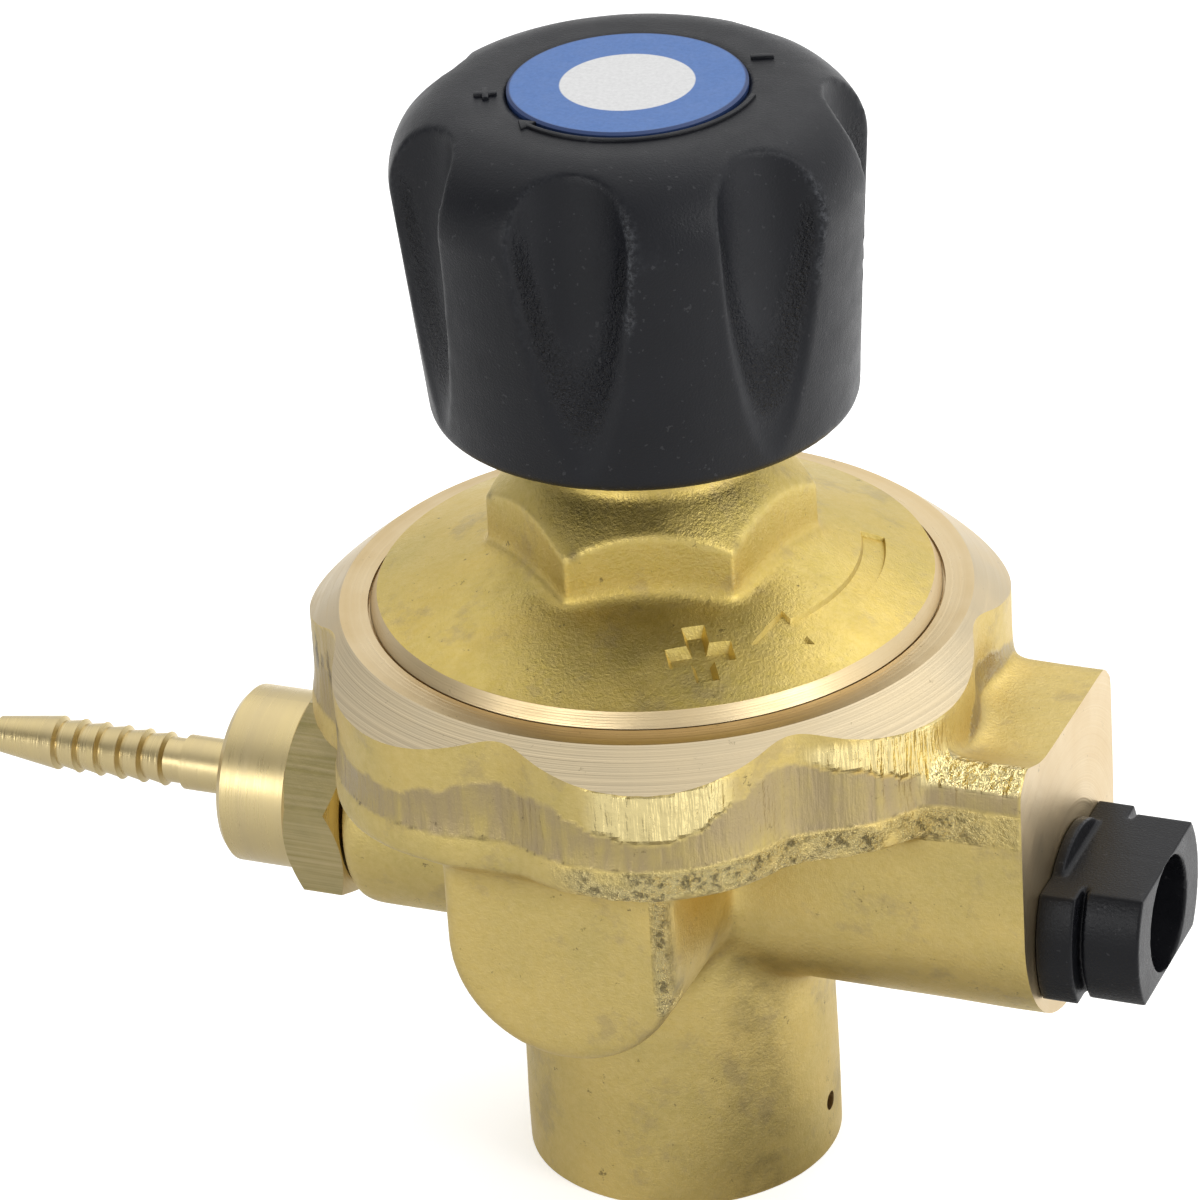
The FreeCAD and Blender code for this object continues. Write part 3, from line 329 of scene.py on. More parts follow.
class Shader:
    """Short names for the shader nodes that the materials are built from."""

    def __init__(self, tree):
        self.tree = tree
        self.surface = tree.nodes["Principled BSDF"]
        self.place = self.node("ShaderNodeTexCoord").outputs["Object"]

    def node(self, kind, **settings):
        made = self.tree.nodes.new(kind)
        for key, value in settings.items():
            setattr(made, key, value)
        return made

    def link(self, source, target):
        if hasattr(source, "is_linked"):
            self.tree.links.new(source, target)
        else:
            target.default_value = source

    def noise(self, scale, detail=3.0, roughness=0.55, where=None, low=0.0, high=1.0):
        """Noise with a scale in cycles per metre, spread from low to high."""
        made = self.node("ShaderNodeTexNoise")
        self.link(self.place if where is None else where, made.inputs["Vector"])
        made.inputs["Scale"].default_value = scale
        made.inputs["Detail"].default_value = detail
        made.inputs["Roughness"].default_value = roughness
        return self.spread(made.outputs["Fac"], 0.3, 0.7, low, high)

    def spread(self, value, from_low, from_high, low, high):
        made = self.node("ShaderNodeMapRange")
        self.link(value, made.inputs["Value"])
        for key, number in (("From Min", from_low), ("From Max", from_high),
                            ("To Min", low), ("To Max", high)):
            made.inputs[key].default_value = number
        return made.outputs["Result"]

    def attribute(self, name):
        return self.node("ShaderNodeAttribute", attribute_name=name).outputs["Fac"]

    def math(self, operation, a, b):
        made = self.node("ShaderNodeMath", operation=operation)
        self.link(a, made.inputs[0])
        self.link(b, made.inputs[1])
        return made.outputs["Value"]

    def mix(self, factor, a, b):
        made = self.node("ShaderNodeMix", data_type="RGBA")
        self.link(factor, made.inputs["Factor"])
        self.link(a, made.inputs[6])
        self.link(b, made.inputs[7])
        return made.outputs[2]

    def bump(self, height, strength, distance, normal=None):
        made = self.node("ShaderNodeBump")
        self.link(height, made.inputs["Height"])
        made.inputs["Strength"].default_value = strength
        made.inputs["Distance"].default_value = distance
        if normal is not None:
            self.link(normal, made.inputs["Normal"])
        return made.outputs["Normal"]

    def stretched(self, x, y, z):
        made = self.node("ShaderNodeMapping")
        self.link(self.place, made.inputs["Vector"])
        made.inputs["Scale"].default_value = (x, y, z)
        return made.outputs["Vector"]

    def radius(self, axis, height=0.0):
        """Distance from a turning axis along X at the given height, or along Z."""
        parts = self.node("ShaderNodeSeparateXYZ")
        self.link(self.place, parts.inputs["Vector"])
        first = parts.outputs["X"] if axis == "Z" else self.math("SUBTRACT", parts.outputs["Z"], height)
        second = parts.outputs["Y"]
        first, second = self.math("MULTIPLY", first, first), self.math("MULTIPLY", second, second)
        return self.math("SQRT", self.math("ADD", first, second), 0.0), parts.outputs["Z" if axis == "Z" else "X"]

    def grooves(self, axis, height, scale):
        """Fine turning marks: noise over the radius and along the axis, the same all round."""
        distance, along = self.radius(axis, height)
        joined = self.node("ShaderNodeCombineXYZ")
        self.link(distance, joined.inputs["X"])
        self.link(along, joined.inputs["Y"])
        return self.noise(scale, 2.0, 0.6, joined.outputs["Vector"])


def rgba(red, green, blue):
    return (red, green, blue, 1.0)


GOLD = rgba(0.65, 0.49, 0.165)
OLIVE = rgba(0.52, 0.41, 0.14)
# Painted shade colour: the amber that brass throws into its own hollows.
AMBER_SHADE = rgba(0.62, 0.38, 0.06)
SHEARED = rgba(0.385, 0.30, 0.165)
BEIGE = rgba(0.72, 0.58, 0.36)
BRIGHT = rgba(0.76, 0.61, 0.29)
FRESH = rgba(0.90, 0.76, 0.38)
# Dark colour of dirt, which also serves for painted shade.
DIRT_AND_SHADE = rgba(0.13, 0.10, 0.05)


def forged_brass(name, gold, olive):
    """Sand-blasted forging, with brown stains, painted amber shade in the hollows, and bright edges that are worn
    and carry a painted highlight.

    It also has the sheared flash band, torn bright facets, crust, and smudges that include a painted shade band,
    each by a mask on the points.
    """
    material, s = new_material(name)
    flash, torn, crust = s.attribute("flash"), s.attribute("torn"), s.attribute("crust")
    wear_and_highlight, smudge_and_shade = s.attribute("wear_and_highlight"), s.attribute("smudge_and_shade")
    streak = s.noise(1, 3, 0.6, s.stretched(900, 900, 110))
    colour = s.mix(s.noise(90, 3, 0.55), gold, olive)
    colour = s.mix(s.math("MULTIPLY", s.noise(1500, 4, 0.65), 0.3), colour, BRIGHT)
    stains = s.noise(170, 5, 0.7, low=-2.6, high=1.5)
    colour = s.mix(s.spread(stains, 0, 1, 0, 0.4), colour, SHEARED)
    # Painted shade: the hollows take the amber tint.
    colour = s.mix(s.math("MULTIPLY", s.attribute("hollow_shade"), 0.9), colour, AMBER_SHADE)
    sheared = s.mix(s.noise(260, 3, 0.6), SHEARED, s.mix(streak, SHEARED, olive))
    colour = s.mix(flash, colour, sheared)
    specks = s.noise(620, 5, 0.8, low=-7.0, high=1.25)
    colour = s.mix(s.spread(specks, 0, 1, 0, 0.7), colour, DIRT_AND_SHADE)
    colour = s.mix(s.math("MULTIPLY", s.math("MAXIMUM", crust, torn), 0.75), colour, FRESH)
    grains = s.noise(1300, 3, 0.7)
    colour = s.mix(s.math("MULTIPLY", crust, s.spread(grains, 0.5, 0.8, 0, 0.75)), colour, DIRT_AND_SHADE)
    # Raised edges turn bright: worn brass, and a painted highlight along them.
    colour = s.mix(s.math("MULTIPLY", wear_and_highlight, 0.7), colour, BRIGHT)
    # Smudges, and the painted shade band on the socket, are darkened.
    colour = s.mix(s.math("MULTIPLY", smudge_and_shade, s.noise(520, 5, 0.8, low=0.2, high=1.25)), colour, DIRT_AND_SHADE)
    s.link(colour, s.surface.inputs["Base Color"])
    s.surface.inputs["Metallic"].default_value = 1.0
    rough = s.noise(260, 4, 0.6, low=0.36, high=0.5)
    rough = s.math("SUBTRACT", rough, s.math("MULTIPLY", flash, 0.05))
    rough = s.math("SUBTRACT", rough, s.math("MULTIPLY", s.math("MAXIMUM", crust, torn), 0.2))
    s.link(rough, s.surface.inputs["Roughness"])
    normal = s.bump(s.noise(3300, 3, 0.7), 0.38, 0.00006)
    normal = s.bump(s.noise(420, 2, 0.5), 0.12, 0.0001, normal)
    normal = s.bump(s.math("MULTIPLY", s.math("MAXIMUM", flash, torn), streak), 0.6, 0.00016, normal)
    normal = s.bump(s.math("MULTIPLY", torn, streak), 0.8, 0.0003, normal)
    normal = s.bump(s.math("MULTIPLY", torn, s.noise(450, 2, 0.5)), 0.4, 0.0003, normal)
    normal = s.bump(s.math("MULTIPLY", crust, s.noise(1300, 4, 0.8)), 1.0, 0.0007, normal)
    normal = s.bump(s.math("MULTIPLY", wear_and_highlight, s.noise(1900, 3, 0.7)), 0.5, 0.0002, normal)
    s.link(normal, s.surface.inputs["Normal"])
    return material


def turned_brass(name, axis, height=0.0, colour_a=BEIGE, colour_b=BRIGHT, rough=(0.22, 0.36),
                 scale=6000, depth=0.5, spun=0.0):
    """Brass fresh from the lathe, with its fine rings, whose reflections spread across them."""
    material, s = new_material(name)
    rings = s.grooves(axis, height, scale)
    wide = s.grooves(axis, height, scale / 9)
    cloud = s.noise(160, 3, 0.6)
    colour = s.mix(s.math("MULTIPLY", s.math("ADD", wide, cloud), 0.5), colour_a, colour_b)
    specks = s.noise(900, 5, 0.8, low=-8.0, high=1.1)
    colour = s.mix(s.spread(specks, 0, 1, 0, 0.5), colour, DIRT_AND_SHADE)
    s.link(colour, s.surface.inputs["Base Color"])
    s.surface.inputs["Metallic"].default_value = 1.0
    gloss = s.spread(s.math("ADD", rings, cloud), 0.2, 1.8, rough[0], rough[1])
    s.link(gloss, s.surface.inputs["Roughness"])
    normal = s.bump(rings, depth, 0.00002)
    normal = s.bump(wide, depth * 0.6, 0.00004, normal)
    s.link(normal, s.surface.inputs["Normal"])
    if spun:
        parts, along = s.node("ShaderNodeSeparateXYZ"), s.node("ShaderNodeCombineXYZ")
        s.link(s.place, parts.inputs["Vector"])
        if axis == "Z":
            s.link(s.math("MULTIPLY", parts.outputs["Y"], -1.0), along.inputs["X"])
            s.link(parts.outputs["X"], along.inputs["Y"])
        else:
            s.link(s.math("SUBTRACT", height, parts.outputs["Z"]), along.inputs["Y"])
            s.link(parts.outputs["Y"], along.inputs["Z"])
        s.surface.inputs["Anisotropic"].default_value = spun
        s.link(along.outputs["Vector"], s.surface.inputs["Tangent"])
    return material


def drawn_brass():
    """The nut's flats: drawn bar, with faint lines along it and a few dents."""
    material, s = new_material("drawn_brass")
    lines = s.noise(1, 2, 0.6, s.stretched(60, 3000, 3000))
    cloud = s.noise(220, 3, 0.6)
    colour = s.mix(cloud, rgba(0.33, 0.28, 0.115), rgba(0.44, 0.355, 0.15))
    s.link(s.mix(s.math("MULTIPLY", lines, 0.4), colour, BEIGE), s.surface.inputs["Base Color"])
    s.surface.inputs["Metallic"].default_value = 1.0
    s.link(s.noise(500, 3, 0.6, low=0.34, high=0.46), s.surface.inputs["Roughness"])
    normal = s.bump(lines, 0.3, 0.00002)
    s.link(s.bump(s.noise(900, 4, 0.7), 0.35, 0.00006, normal), s.surface.inputs["Normal"])
    return material


def moulded(name, colour, grain, rough, shine=0.26):
    """Satin moulded plastic: scuffs and a painted highlight where the edge mask is, and a coarser grain where the
    grain mask is.
    """
    material, s = new_material(name)
    cloud = s.noise(120, 3, 0.6)
    base = s.mix(cloud, rgba(*colour), rgba(*(c * 1.35 for c in colour)))
    # Scuffs, and the painted highlight on the knob's flute tops, are a lighter grey with less roughness.
    scuff_and_highlight = s.math("MULTIPLY", s.attribute("wear_and_highlight"), s.spread(s.noise(2300, 4, 0.75), 0.35, 0.8, 0, 1))
    base = s.mix(s.math("MULTIPLY", scuff_and_highlight, 0.8), base, rgba(0.09, 0.095, 0.105))
    dust = s.noise(1700, 2, 0.6, low=-40.0, high=1.5)
    base = s.mix(s.spread(dust, 0, 1, 0, 0.07), base, rgba(0.25, 0.25, 0.26))
    s.link(base, s.surface.inputs["Base Color"])
    s.surface.inputs["Specular IOR Level"].default_value = shine
    coarse = s.attribute("grain")
    rough_map = s.math("SUBTRACT", s.noise(400, 3, 0.6, low=rough - 0.04, high=rough + 0.05),
                       s.math("MULTIPLY", s.math("MAXIMUM", scuff_and_highlight, coarse), 0.12))
    s.link(rough_map, s.surface.inputs["Roughness"])
    normal = s.bump(s.noise(grain, 3, 0.65), 0.35, 0.00005)
    normal = s.bump(s.math("MULTIPLY", coarse, s.noise(2300, 3, 0.7)), 0.8, 0.00022, normal)
    normal = s.bump(s.math("MULTIPLY", scuff_and_highlight, s.noise(2600, 3, 0.7)), 0.7, 0.0001, normal)
    s.link(normal, s.surface.inputs["Normal"])
    return material


def plain_part(name, colour_a, colour_b, metallic, rough, scale=900, bump=0.3):
    """Small inner pieces: two tones, fine grain and an uneven gloss."""
    material, s = new_material(name)
    s.link(s.mix(s.noise(scale, 4, 0.6), rgba(*colour_a), rgba(*colour_b)), s.surface.inputs["Base Color"])
    s.surface.inputs["Metallic"].default_value = metallic
    s.link(s.noise(scale * 0.7, 3, 0.6, low=rough[0], high=rough[1]), s.surface.inputs["Roughness"])
    s.link(s.bump(s.noise(scale * 2.5, 3, 0.65), bump, 0.00004), s.surface.inputs["Normal"])
    return material


def label_film():
    """A printed film: a blue ring round a white centre, with nothing written on it."""
    material, s = new_material("label_film")
    distance, _ = s.radius("Z")
    weave = s.noise(2600, 3, 0.7)
    blue = s.mix(weave, rgba(0.045, 0.13, 0.36), rgba(0.065, 0.165, 0.44))
    white = s.mix(weave, rgba(0.58, 0.58, 0.58), rgba(0.68, 0.68, 0.68))
    inside = s.spread(distance, 0.00545, 0.00555, 1, 0)
    colour = s.mix(inside, blue, white)
    edge = s.spread(distance, 0.00945, 0.0096, 0, 1)
    s.link(s.mix(edge, colour, rgba(0.02, 0.045, 0.14)), s.surface.inputs["Base Color"])
    s.link(s.noise(600, 3, 0.6, low=0.38, high=0.5), s.surface.inputs["Roughness"])
    s.link(s.bump(weave, 0.15, 0.00002), s.surface.inputs["Normal"])
    return material


forged = forged_brass("forged_brass", GOLD, OLIVE)
bonnet_forged = forged_brass("bonnet_brass", rgba(0.64, 0.475, 0.125), rgba(0.54, 0.425, 0.12))
faced = turned_brass("faced_brass", "Z", 0.0, BEIGE, rgba(0.62, 0.47, 0.25), (0.26, 0.42), spun=0.65)
chamfered = turned_brass("chamfer_brass", "Z", 0.0, rgba(0.62, 0.52, 0.35), rgba(0.74, 0.60, 0.38),
                         (0.28, 0.44), 5200, 0.7, 0.75)
cross_faced = turned_brass("cross_faced_brass", "X", RELIEF_HEIGHT * MM, BEIGE, rgba(0.66, 0.51, 0.30),
                           (0.3, 0.46), spun=0.4)
lathe = turned_brass("lathe_brass", "X", OUTLET_HEIGHT * MM, rgba(0.66, 0.53, 0.26),
                     rgba(0.58, 0.47, 0.26), (0.24, 0.36), 5200, 0.5, 0.5)
inner_brass = turned_brass("inner_brass", "Z", 0.0, BRIGHT, BEIGE, (0.2, 0.32), 4200, 0.4)
bar = drawn_brass()
knob_black = moulded("knob_plastic", (0.0045, 0.005, 0.0072), 5200, 0.38)
cap_black = moulded("cap_plastic", (0.005, 0.0052, 0.0065), 4200, 0.30, 0.2)
label = label_film()
# Painted light: the dark steel is given a lighter colour than it has, so that the screw deep in the relief cap's
# bore shows.
dark = plain_part("dark_steel", (0.30, 0.30, 0.32), (0.45, 0.45, 0.48), 1.0, (0.2, 0.34))
spring_steel = plain_part("spring_steel", (0.42, 0.42, 0.43), (0.55, 0.55, 0.56), 1.0, (0.2, 0.34))
zinc = plain_part("zinc_steel", (0.55, 0.56, 0.57), (0.70, 0.70, 0.69), 1.0, (0.24, 0.4))
rubber = plain_part("black_rubber", (0.018, 0.018, 0.018), (0.03, 0.03, 0.03), 0.0, (0.6, 0.75), 1400)
polymer = plain_part("white_polymer", (0.70, 0.69, 0.65), (0.80, 0.79, 0.76), 0.0, (0.4, 0.55))
amber = plain_part("amber_gasket", (0.55, 0.28, 0.05), (0.72, 0.42, 0.10), 0.0, (0.25, 0.4))
bronze = plain_part("sintered_bronze", (0.30, 0.18, 0.08), (0.50, 0.34, 0.16), 1.0, (0.45, 0.7), 2600, 0.9)
by_slot = {
    "forged_brass": forged, "turned_brass": inner_brass, "knob_plastic": knob_black,
    "cap_plastic": cap_black, "label_film": label, "dark_steel": dark, "spring_steel": spring_steel,
    "zinc_steel": zinc, "black_rubber": rubber, "white_polymer": polymer, "amber_gasket": amber,
    "sintered_bronze": bronze,
}
for part in frame["record"]["subparts"]:
    mesh = nodes[part["node"]].data
    mesh.materials.clear()
    mesh.materials.append(by_slot[part["material_slot"]])


# Body

LOBES = 7
LOBE_RADIUS = 14.2
LOBE_CIRCLE = 15.8
LOBE_PHASE = math.radians(31.4)
VALLEY_FILLET = 5.0


def flange_outline(extra=0.0, steps=40):
    """The seven-lobed outline, with round valleys, as in the CAD."""
    half = math.pi / LOBES
    reach = LOBE_RADIUS + VALLEY_FILLET
    across = LOBE_CIRCLE * math.sin(half)
    valley = LOBE_CIRCLE * math.cos(half) + math.sqrt(reach ** 2 - across ** 2)
    lobe = Vector((LOBE_CIRCLE, 0))
    fillet = Vector((valley * math.cos(half), valley * math.sin(half)))
    touch = lobe + (fillet - lobe).normalized() * LOBE_RADIUS
    limit = math.atan2(touch.y, touch.x)
    outline = []
    for k in range(LOBES * 2 * steps):
        angle = k * half / steps
        off = (angle + half) % (2 * half) - half
        if abs(off) < limit:
            radius = LOBE_CIRCLE * math.cos(off) + math.sqrt(
                LOBE_RADIUS ** 2 - (LOBE_CIRCLE * math.sin(off)) ** 2)
        else:
            turn = half - abs(off)
            radius = valley * math.cos(turn) - math.sqrt(
                VALLEY_FILLET ** 2 - (valley * math.sin(turn)) ** 2)
        radius += extra
        outline.append((radius * math.cos(angle + LOBE_PHASE), radius * math.sin(angle + LOBE_PHASE)))
    return outline


def block_outline(half=12.0, middle=31.2):
    points = [(half * math.cos(a), middle + half * math.sin(a))
              for a in np.linspace(-math.pi, 0, 40)]
    return points + [(12.0, 43.4), (10.3, 45.1), (-6.3, 45.1), (-10.3, 46.7), (-12.0, 45.0)]


STOCK_TOP = 54.6
body = fuse("body_forging", [
    cad_copy("body", "body_raw"),
    turned("fill_core", [(0, -2), (13.0, -2), (SOCKET_RADIUS, -1.4), (SOCKET_RADIUS, 3), (13.2, 44),
                         (23.6, 43), (23.6, STOCK_TOP), (0, STOCK_TOP)]),
    prism("stock_top", flange_outline(), 45, STOCK_TOP),
    prism("stock_block", block_outline(), 20, 37.6, "X"),
    turned("fill_outlet", [(0, -26.9), (6.5, -26.9), (6.5, -12), (0, -12)], 60, "X",
           OUTLET_HEIGHT),
], 0.36)
soften(body, 3, 26)
points = points_of(body)
x, y, z = points.T
away = np.hypot(x, y)
around = np.degrees(np.arctan2(y, x))
upright = 1 - ramp(normals_of(body)[:, 2], 0.45, 0.65)
side = ramp(away, 24.0, 25.5) * upright
valley = np.cos(np.radians((around - 31.4) * 7))
wavy = 46.9 - 1.1 * valley + 0.7 * fractal(points, 3.5, 3, 5.0)
wavy += (0.6 - 1.0 * valley) * window(around, -88, -5, 6)
left_lobe = side * (1 - window(around, -134, 165, 2.5)) * window(z, 43.1, 52, 0.2)
sheared = side * window(z, 43.1, 50.4, 0.15) * (1 - ramp(z, wavy - 0.12, wavy + 0.12))
sheared = np.maximum(sheared, 0.6 * left_lobe)
patches = ramp(fractal(points, 4.0, 3, 9.0), -0.6, 0.0)
right_front = window(around, -84, -20, 5)
crust = side * window(z, 40.1, 42.9, 0.25) * right_front * patches
boss_edge = window(x, 8.75, 9.7, 0.35) * window(y, -26.5, -22.5, 0.6) * window(z, 27.5, 39.5, 0.7)
crust = np.maximum(crust, boss_edge)
ridge = window(y, -12.4, -9.4, 0.4) * window(z, 44.9, 47, 0.3) * ramp(x, 24, 27)
torn_lobes = np.maximum(window(around, -80, -58, 2.5), window(around, -43, -19, 2.5))
torn = side * ramp(z, wavy, wavy + 0.4) * torn_lobes
torn = np.maximum(torn * (1 - ramp(z, 50.0, 51.5)), ridge)
flecks = ramp(fractal(points, 1.5, 3, 17.0), 0.12, 0.3)
nicks = side * window(z, 43.05, 43.25, 0.12) * flecks
scuffs = ramp(fractal(points * (1, 1, 0.5), 1.3, 4, 31.0), 0.05, 0.3)
nicks = np.maximum(nicks, left_lobe * scuffs * window(z, 46.5, 50.9, 0.9))
boss_line = window(x, 9.75, 10.1, 0.12) * window(y, -26, -23, 0.5) * window(z, 28, 39.5, 0.6)
nicks = np.maximum(nicks, 0.6 * boss_line)
# Painted shade: a mottled dark band low on the socket under the block, standing for the shadowed floor that it
# reflects; it is stored with the smudges.
blotches = ramp(fractal(points, 2.2, 5, 21.0), -0.4, 0.5)
shade = window(around, -52, -28, 8) * (1 - ramp(z, 24, 27)) * (0.14 + 0.28 * blotches)
mark(body, "flash", sheared)
mark(body, "torn", torn)
mark(body, "crust", crust)
mark(body, "smudge_and_shade", np.maximum(nicks, shade))
mark_edges(body, 16.0, amber=[
    # painted shade: place, reach and strength of the amber spots between the lobes and the block and under the
    # ledge
    ((23.5, -15.0, 48.0), 3.5, 0.9), ((12.0, -19.0, 37.5), 4.5, 0.8),
    ((25.0, -12.5, 45.5), 2.5, 0.7), ((23.5, 14.0, 47.0), 3.5, 0.8)])
roughen(body, np.full(len(points), 0.06), 9.0, 2, 2.0)
roughen(body, 0.01 + 0.09 * crust + 0.035 * torn, 0.8, 4, 4.0)
body.data.materials.append(forged)
for cutter, material in (
        (turned("cut_chamfer", [CHAMFER_START, CHAMFER_FOOT, (31.4, 60), (26.6, 60)], 256), chamfered),
        (turned("cut_top", [(0, 30), (5.55, 30), (5.55, 38), (9.0, 38), (9.0, 43.5), (19.0, 43.5),
                            (19.0, 47.0), (22.9, 47.0), (22.9, FLANGE_TOP - 0.15), (23.05, FLANGE_TOP),
                            (23.95, FLANGE_TOP), (23.95, FLANGE_TOP - 0.6), (24.2, FLANGE_TOP - 0.6),
                            (24.2, FLANGE_TOP), CHAMFER_START, (26.7, 60), (0, 60)], 256), faced),
        (turned("cut_socket", [(0, -4), (20, -4), (20, 0), (12.85, 0), (6.46, 0), (5.46, 0.4),
                               (5.46, 10), (6.0, 10), (6.0, 11.9), (4.65, 11.9), (4.65, 18), (4.0, 18),
                               (4.0, 29), (5.55, 29), (5.55, 31), (0, 31)], 160), faced),
        (turned("cut_ring", [(12.85, -4), (20, -4), (20, 0.9), (13.75, 0.9)], 160), faced),
        (turned("cut_relief", [(0, 15.4), (1.2, 15.4), (1.2, 20.3), (4.6, 20.3), (4.6, 26.3), (6.0, 26.3),
                               (6.0, BLOCK_FACE), (30, BLOCK_FACE), (30, 40), (0, 40)], 96, "X",
                RELIEF_HEIGHT), cross_faced),
        (turned("cut_outlet", [(0, -30), (5.0, -30), (5.0, -18.5), (1.5, -18.5), (1.5, -11.3), (0, -11.3)],
                96, "X", OUTLET_HEIGHT), cross_faced),
        (turned("cut_vent", [(0, 5.0), (0.85, 5.0), (0.85, 16), (0, 16)], 32, "X", 4.5), faced)):
    cutter.data.materials.append(material)
    carve(body, cutter)
finish_piece(body, None, "body", "housing")


# Bonnet

HEX_CORNER = 20.0


def dome_height(radius):
    """Height of the dome's slope at a radius."""
    return 58.0 - (radius - 13.7) * 0.402


def sunk_mark(name, outline, turn_angle, depth, draft):
    """The cutter of a mark sunk into the dome, with sloping walls."""
    around = [Vector(point) for point in rotated(outline, turn_angle)]
    if sum(a.x * b.y - a.y * b.x for a, b in zip(around, around[1:] + around[:1])) < 0:
        around.reverse()
    count = len(around)
    outward = []
    for k, here in enumerate(around):
        a, b = (here - around[k - 1]).normalized(), (around[(k + 1) % count] - here).normalized()
        outward.append(Vector((a.y + b.y, -a.x - b.x)) / max(1 + a.dot(b), 0.3))
    rings = []
    for offset, lift in ((-draft, -depth), (0.0, 0.0), (draft, depth)):
        ring = [here + out * offset for here, out in zip(around, outward)]
        rings += [(p.x, p.y, dome_height(p.length) + lift) for p in ring]
    faces = [tuple(range(count)), tuple(range(3 * count - 1, 2 * count - 1, -1))]
    for low in (0, count):
        for k in range(count):
            n = (k + 1) % count
            faces.append((low + k, low + n, low + n + count, low + k + count))
    obj = mesh_object(name, rings, faces)
    work = bmesh.new()
    work.from_mesh(obj.data)
    bmesh.ops.triangulate(work, faces=work.faces)
    work.to_mesh(obj.data)
    work.free()
    return obj


def plus_outline(radius, arm, width):
    """A plus whose middle is at the given radius on the first axis."""
    a, w = arm, width / 2
    return [(radius + u, v) for u, v in (
        (a, -w), (a, w), (w, w), (w, a), (-w, a), (-w, w),
        (-a, w), (-a, -w), (-w, -w), (-w, -a), (w, -a), (w, -w))]


def arc_arrow_outline(radius, width, start, end, head, wide, steps=28):
    """A curved bar from one angle to another, with an arrowhead at its end."""
    sign = 1 if end > start else -1
    inner, outer = [], []
    for k in range(steps + 1):
        angle = math.radians(start + (end - start) * k / steps)
        inner.append(((radius - width / 2) * math.cos(angle), (radius - width / 2) * math.sin(angle)))
        outer.append(((radius + width / 2) * math.cos(angle), (radius + width / 2) * math.sin(angle)))
    angle = math.radians(end)
    tip = angle + sign * head / radius
    corners = [((radius + wide) * math.cos(angle), (radius + wide) * math.sin(angle)),
               (radius * math.cos(tip), radius * math.sin(tip)),
               ((radius - wide) * math.cos(angle), (radius - wide) * math.sin(angle))]
    return outer + corners + inner[::-1]


bonnet = fuse("bonnet_forging", [
    cad_copy("bonnet", "bonnet_raw"),
    turned("fill_bell", [(0, 46), (22.5, 46), (24.8, 50), (24.8, 53.7), (23.4, 54.15), (13.7, 58.0),
                         (11.0, 59.4), (9.0, 60), (9.0, 75.5), (0, 75.5)]),
], 0.24)
soften(bonnet, 2, 16)
bonnet.data.materials.append(bonnet_forged)
for mask in ("flash", "torn", "crust"):
    mark(bonnet, mask, np.zeros(len(bonnet.data.vertices)))
mark_edges(bonnet, 22.0)
points = points_of(bonnet)
smudges = np.zeros(len(points))
for k in range(6):
    angle = math.radians(HEX_CORNER + 60 * k)
    for reach, height, size in ((13.2, 64.6, 0.75), (13.5, 62.6, 0.5)):
        spot = np.array([reach * math.cos(angle + 0.05), reach * math.sin(angle + 0.05), height])
        smudges += np.exp(-((points - spot) ** 2).sum(1) / size ** 2)
mark(bonnet, "smudge_and_shade", smudges * 0.8)
roughen(bonnet, np.full(len(points), 0.03), 6.0, 2, 12.0)
for cutter, material in (
        (sunk_mark("cut_plus", plus_outline(18.2, 2.75, 1.9), -57.2, 0.85, 0.36), bonnet_forged),
        (sunk_mark("cut_arrow", arc_arrow_outline(18.3, 2.0, 26, -29, 4.7, 2.0), 0, 0.34, 0.14),
         bonnet_forged),
        (turned("cut_pip", [(0, 54), (0.45, 54), (0.45, 58), (0, 58)], 24, "Z"), bonnet_forged),
        (turned("cut_rim", [(30, 40), (30, 55.3), (22.8, 55.3), (23.4, 54.1), (24.0, FLANGE_TOP),
                            (22.85, FLANGE_TOP), (22.85, 48.8), (18, 48.8), (18, 40)], 256), faced),
        (turned("cut_bore", [(0, 40), (19.0, 48.8), (19.0, 50.7), (7.6, 54.6), (7.6, 70), (5.0, 70),
                             (5.0, 90), (12, 90), (12, 76), (8.7, 76), (5.2, 76), (5.0, 75), (0, 75)],
                160), faced)):
    cutter.data.materials.append(material)
    carve(bonnet, cutter)
finish_piece(bonnet, None, "bonnet", "housing")


# Knob

knob = fuse("knob_moulding", [cad_copy("adjusting_knob", "knob_raw")], 0.345)
soften(knob, 2, 0)
points = points_of(knob)
away = np.hypot(points[:, 0], points[:, 1])
turned_to = np.degrees(np.arctan2(points[:, 1], points[:, 0]))
level = np.round(points[:, 2] * 2).astype(int)
skin = np.zeros(level.max() + 1)
np.maximum.at(skin, level, away)
depth = skin[level] - away
mark(knob, "grain", ramp(depth, 0.3, 1.0) * (1 - ramp(depth, 1.3, 2.4)) * window(points[:, 2], 71, 93, 2))
# Painted highlight: the edge mask is raised along the tops of two flutes, so that they show bright lines.
highlight_arcs = window(turned_to, -94, -60, 3) + 0.6 * window(turned_to, -22, -12, 2)
highlight_arcs *= window(points[:, 2], 86, 96, 1)
mark_edges(knob, 9.0 + 26.0 * highlight_arcs, 1)
finish_piece(knob, knob_black, "adjusting_knob", "knob", 60)


def knob_mark(name, outline, turn_angle, low, high):
    """A raised mark on the knob's top."""
    obj = prism(name, rotated(outline, turn_angle), low, high)
    bevel = obj.modifiers.new("round", "BEVEL")
    bevel.width = 0.12
    bevel.segments = 2
    bevel.limit_method = "ANGLE"
    apply_modifiers(obj)
    mark(obj, "wear_and_highlight", np.zeros(len(obj.data.vertices)))
    finish_piece(obj, knob_black, None, "knob", 40)


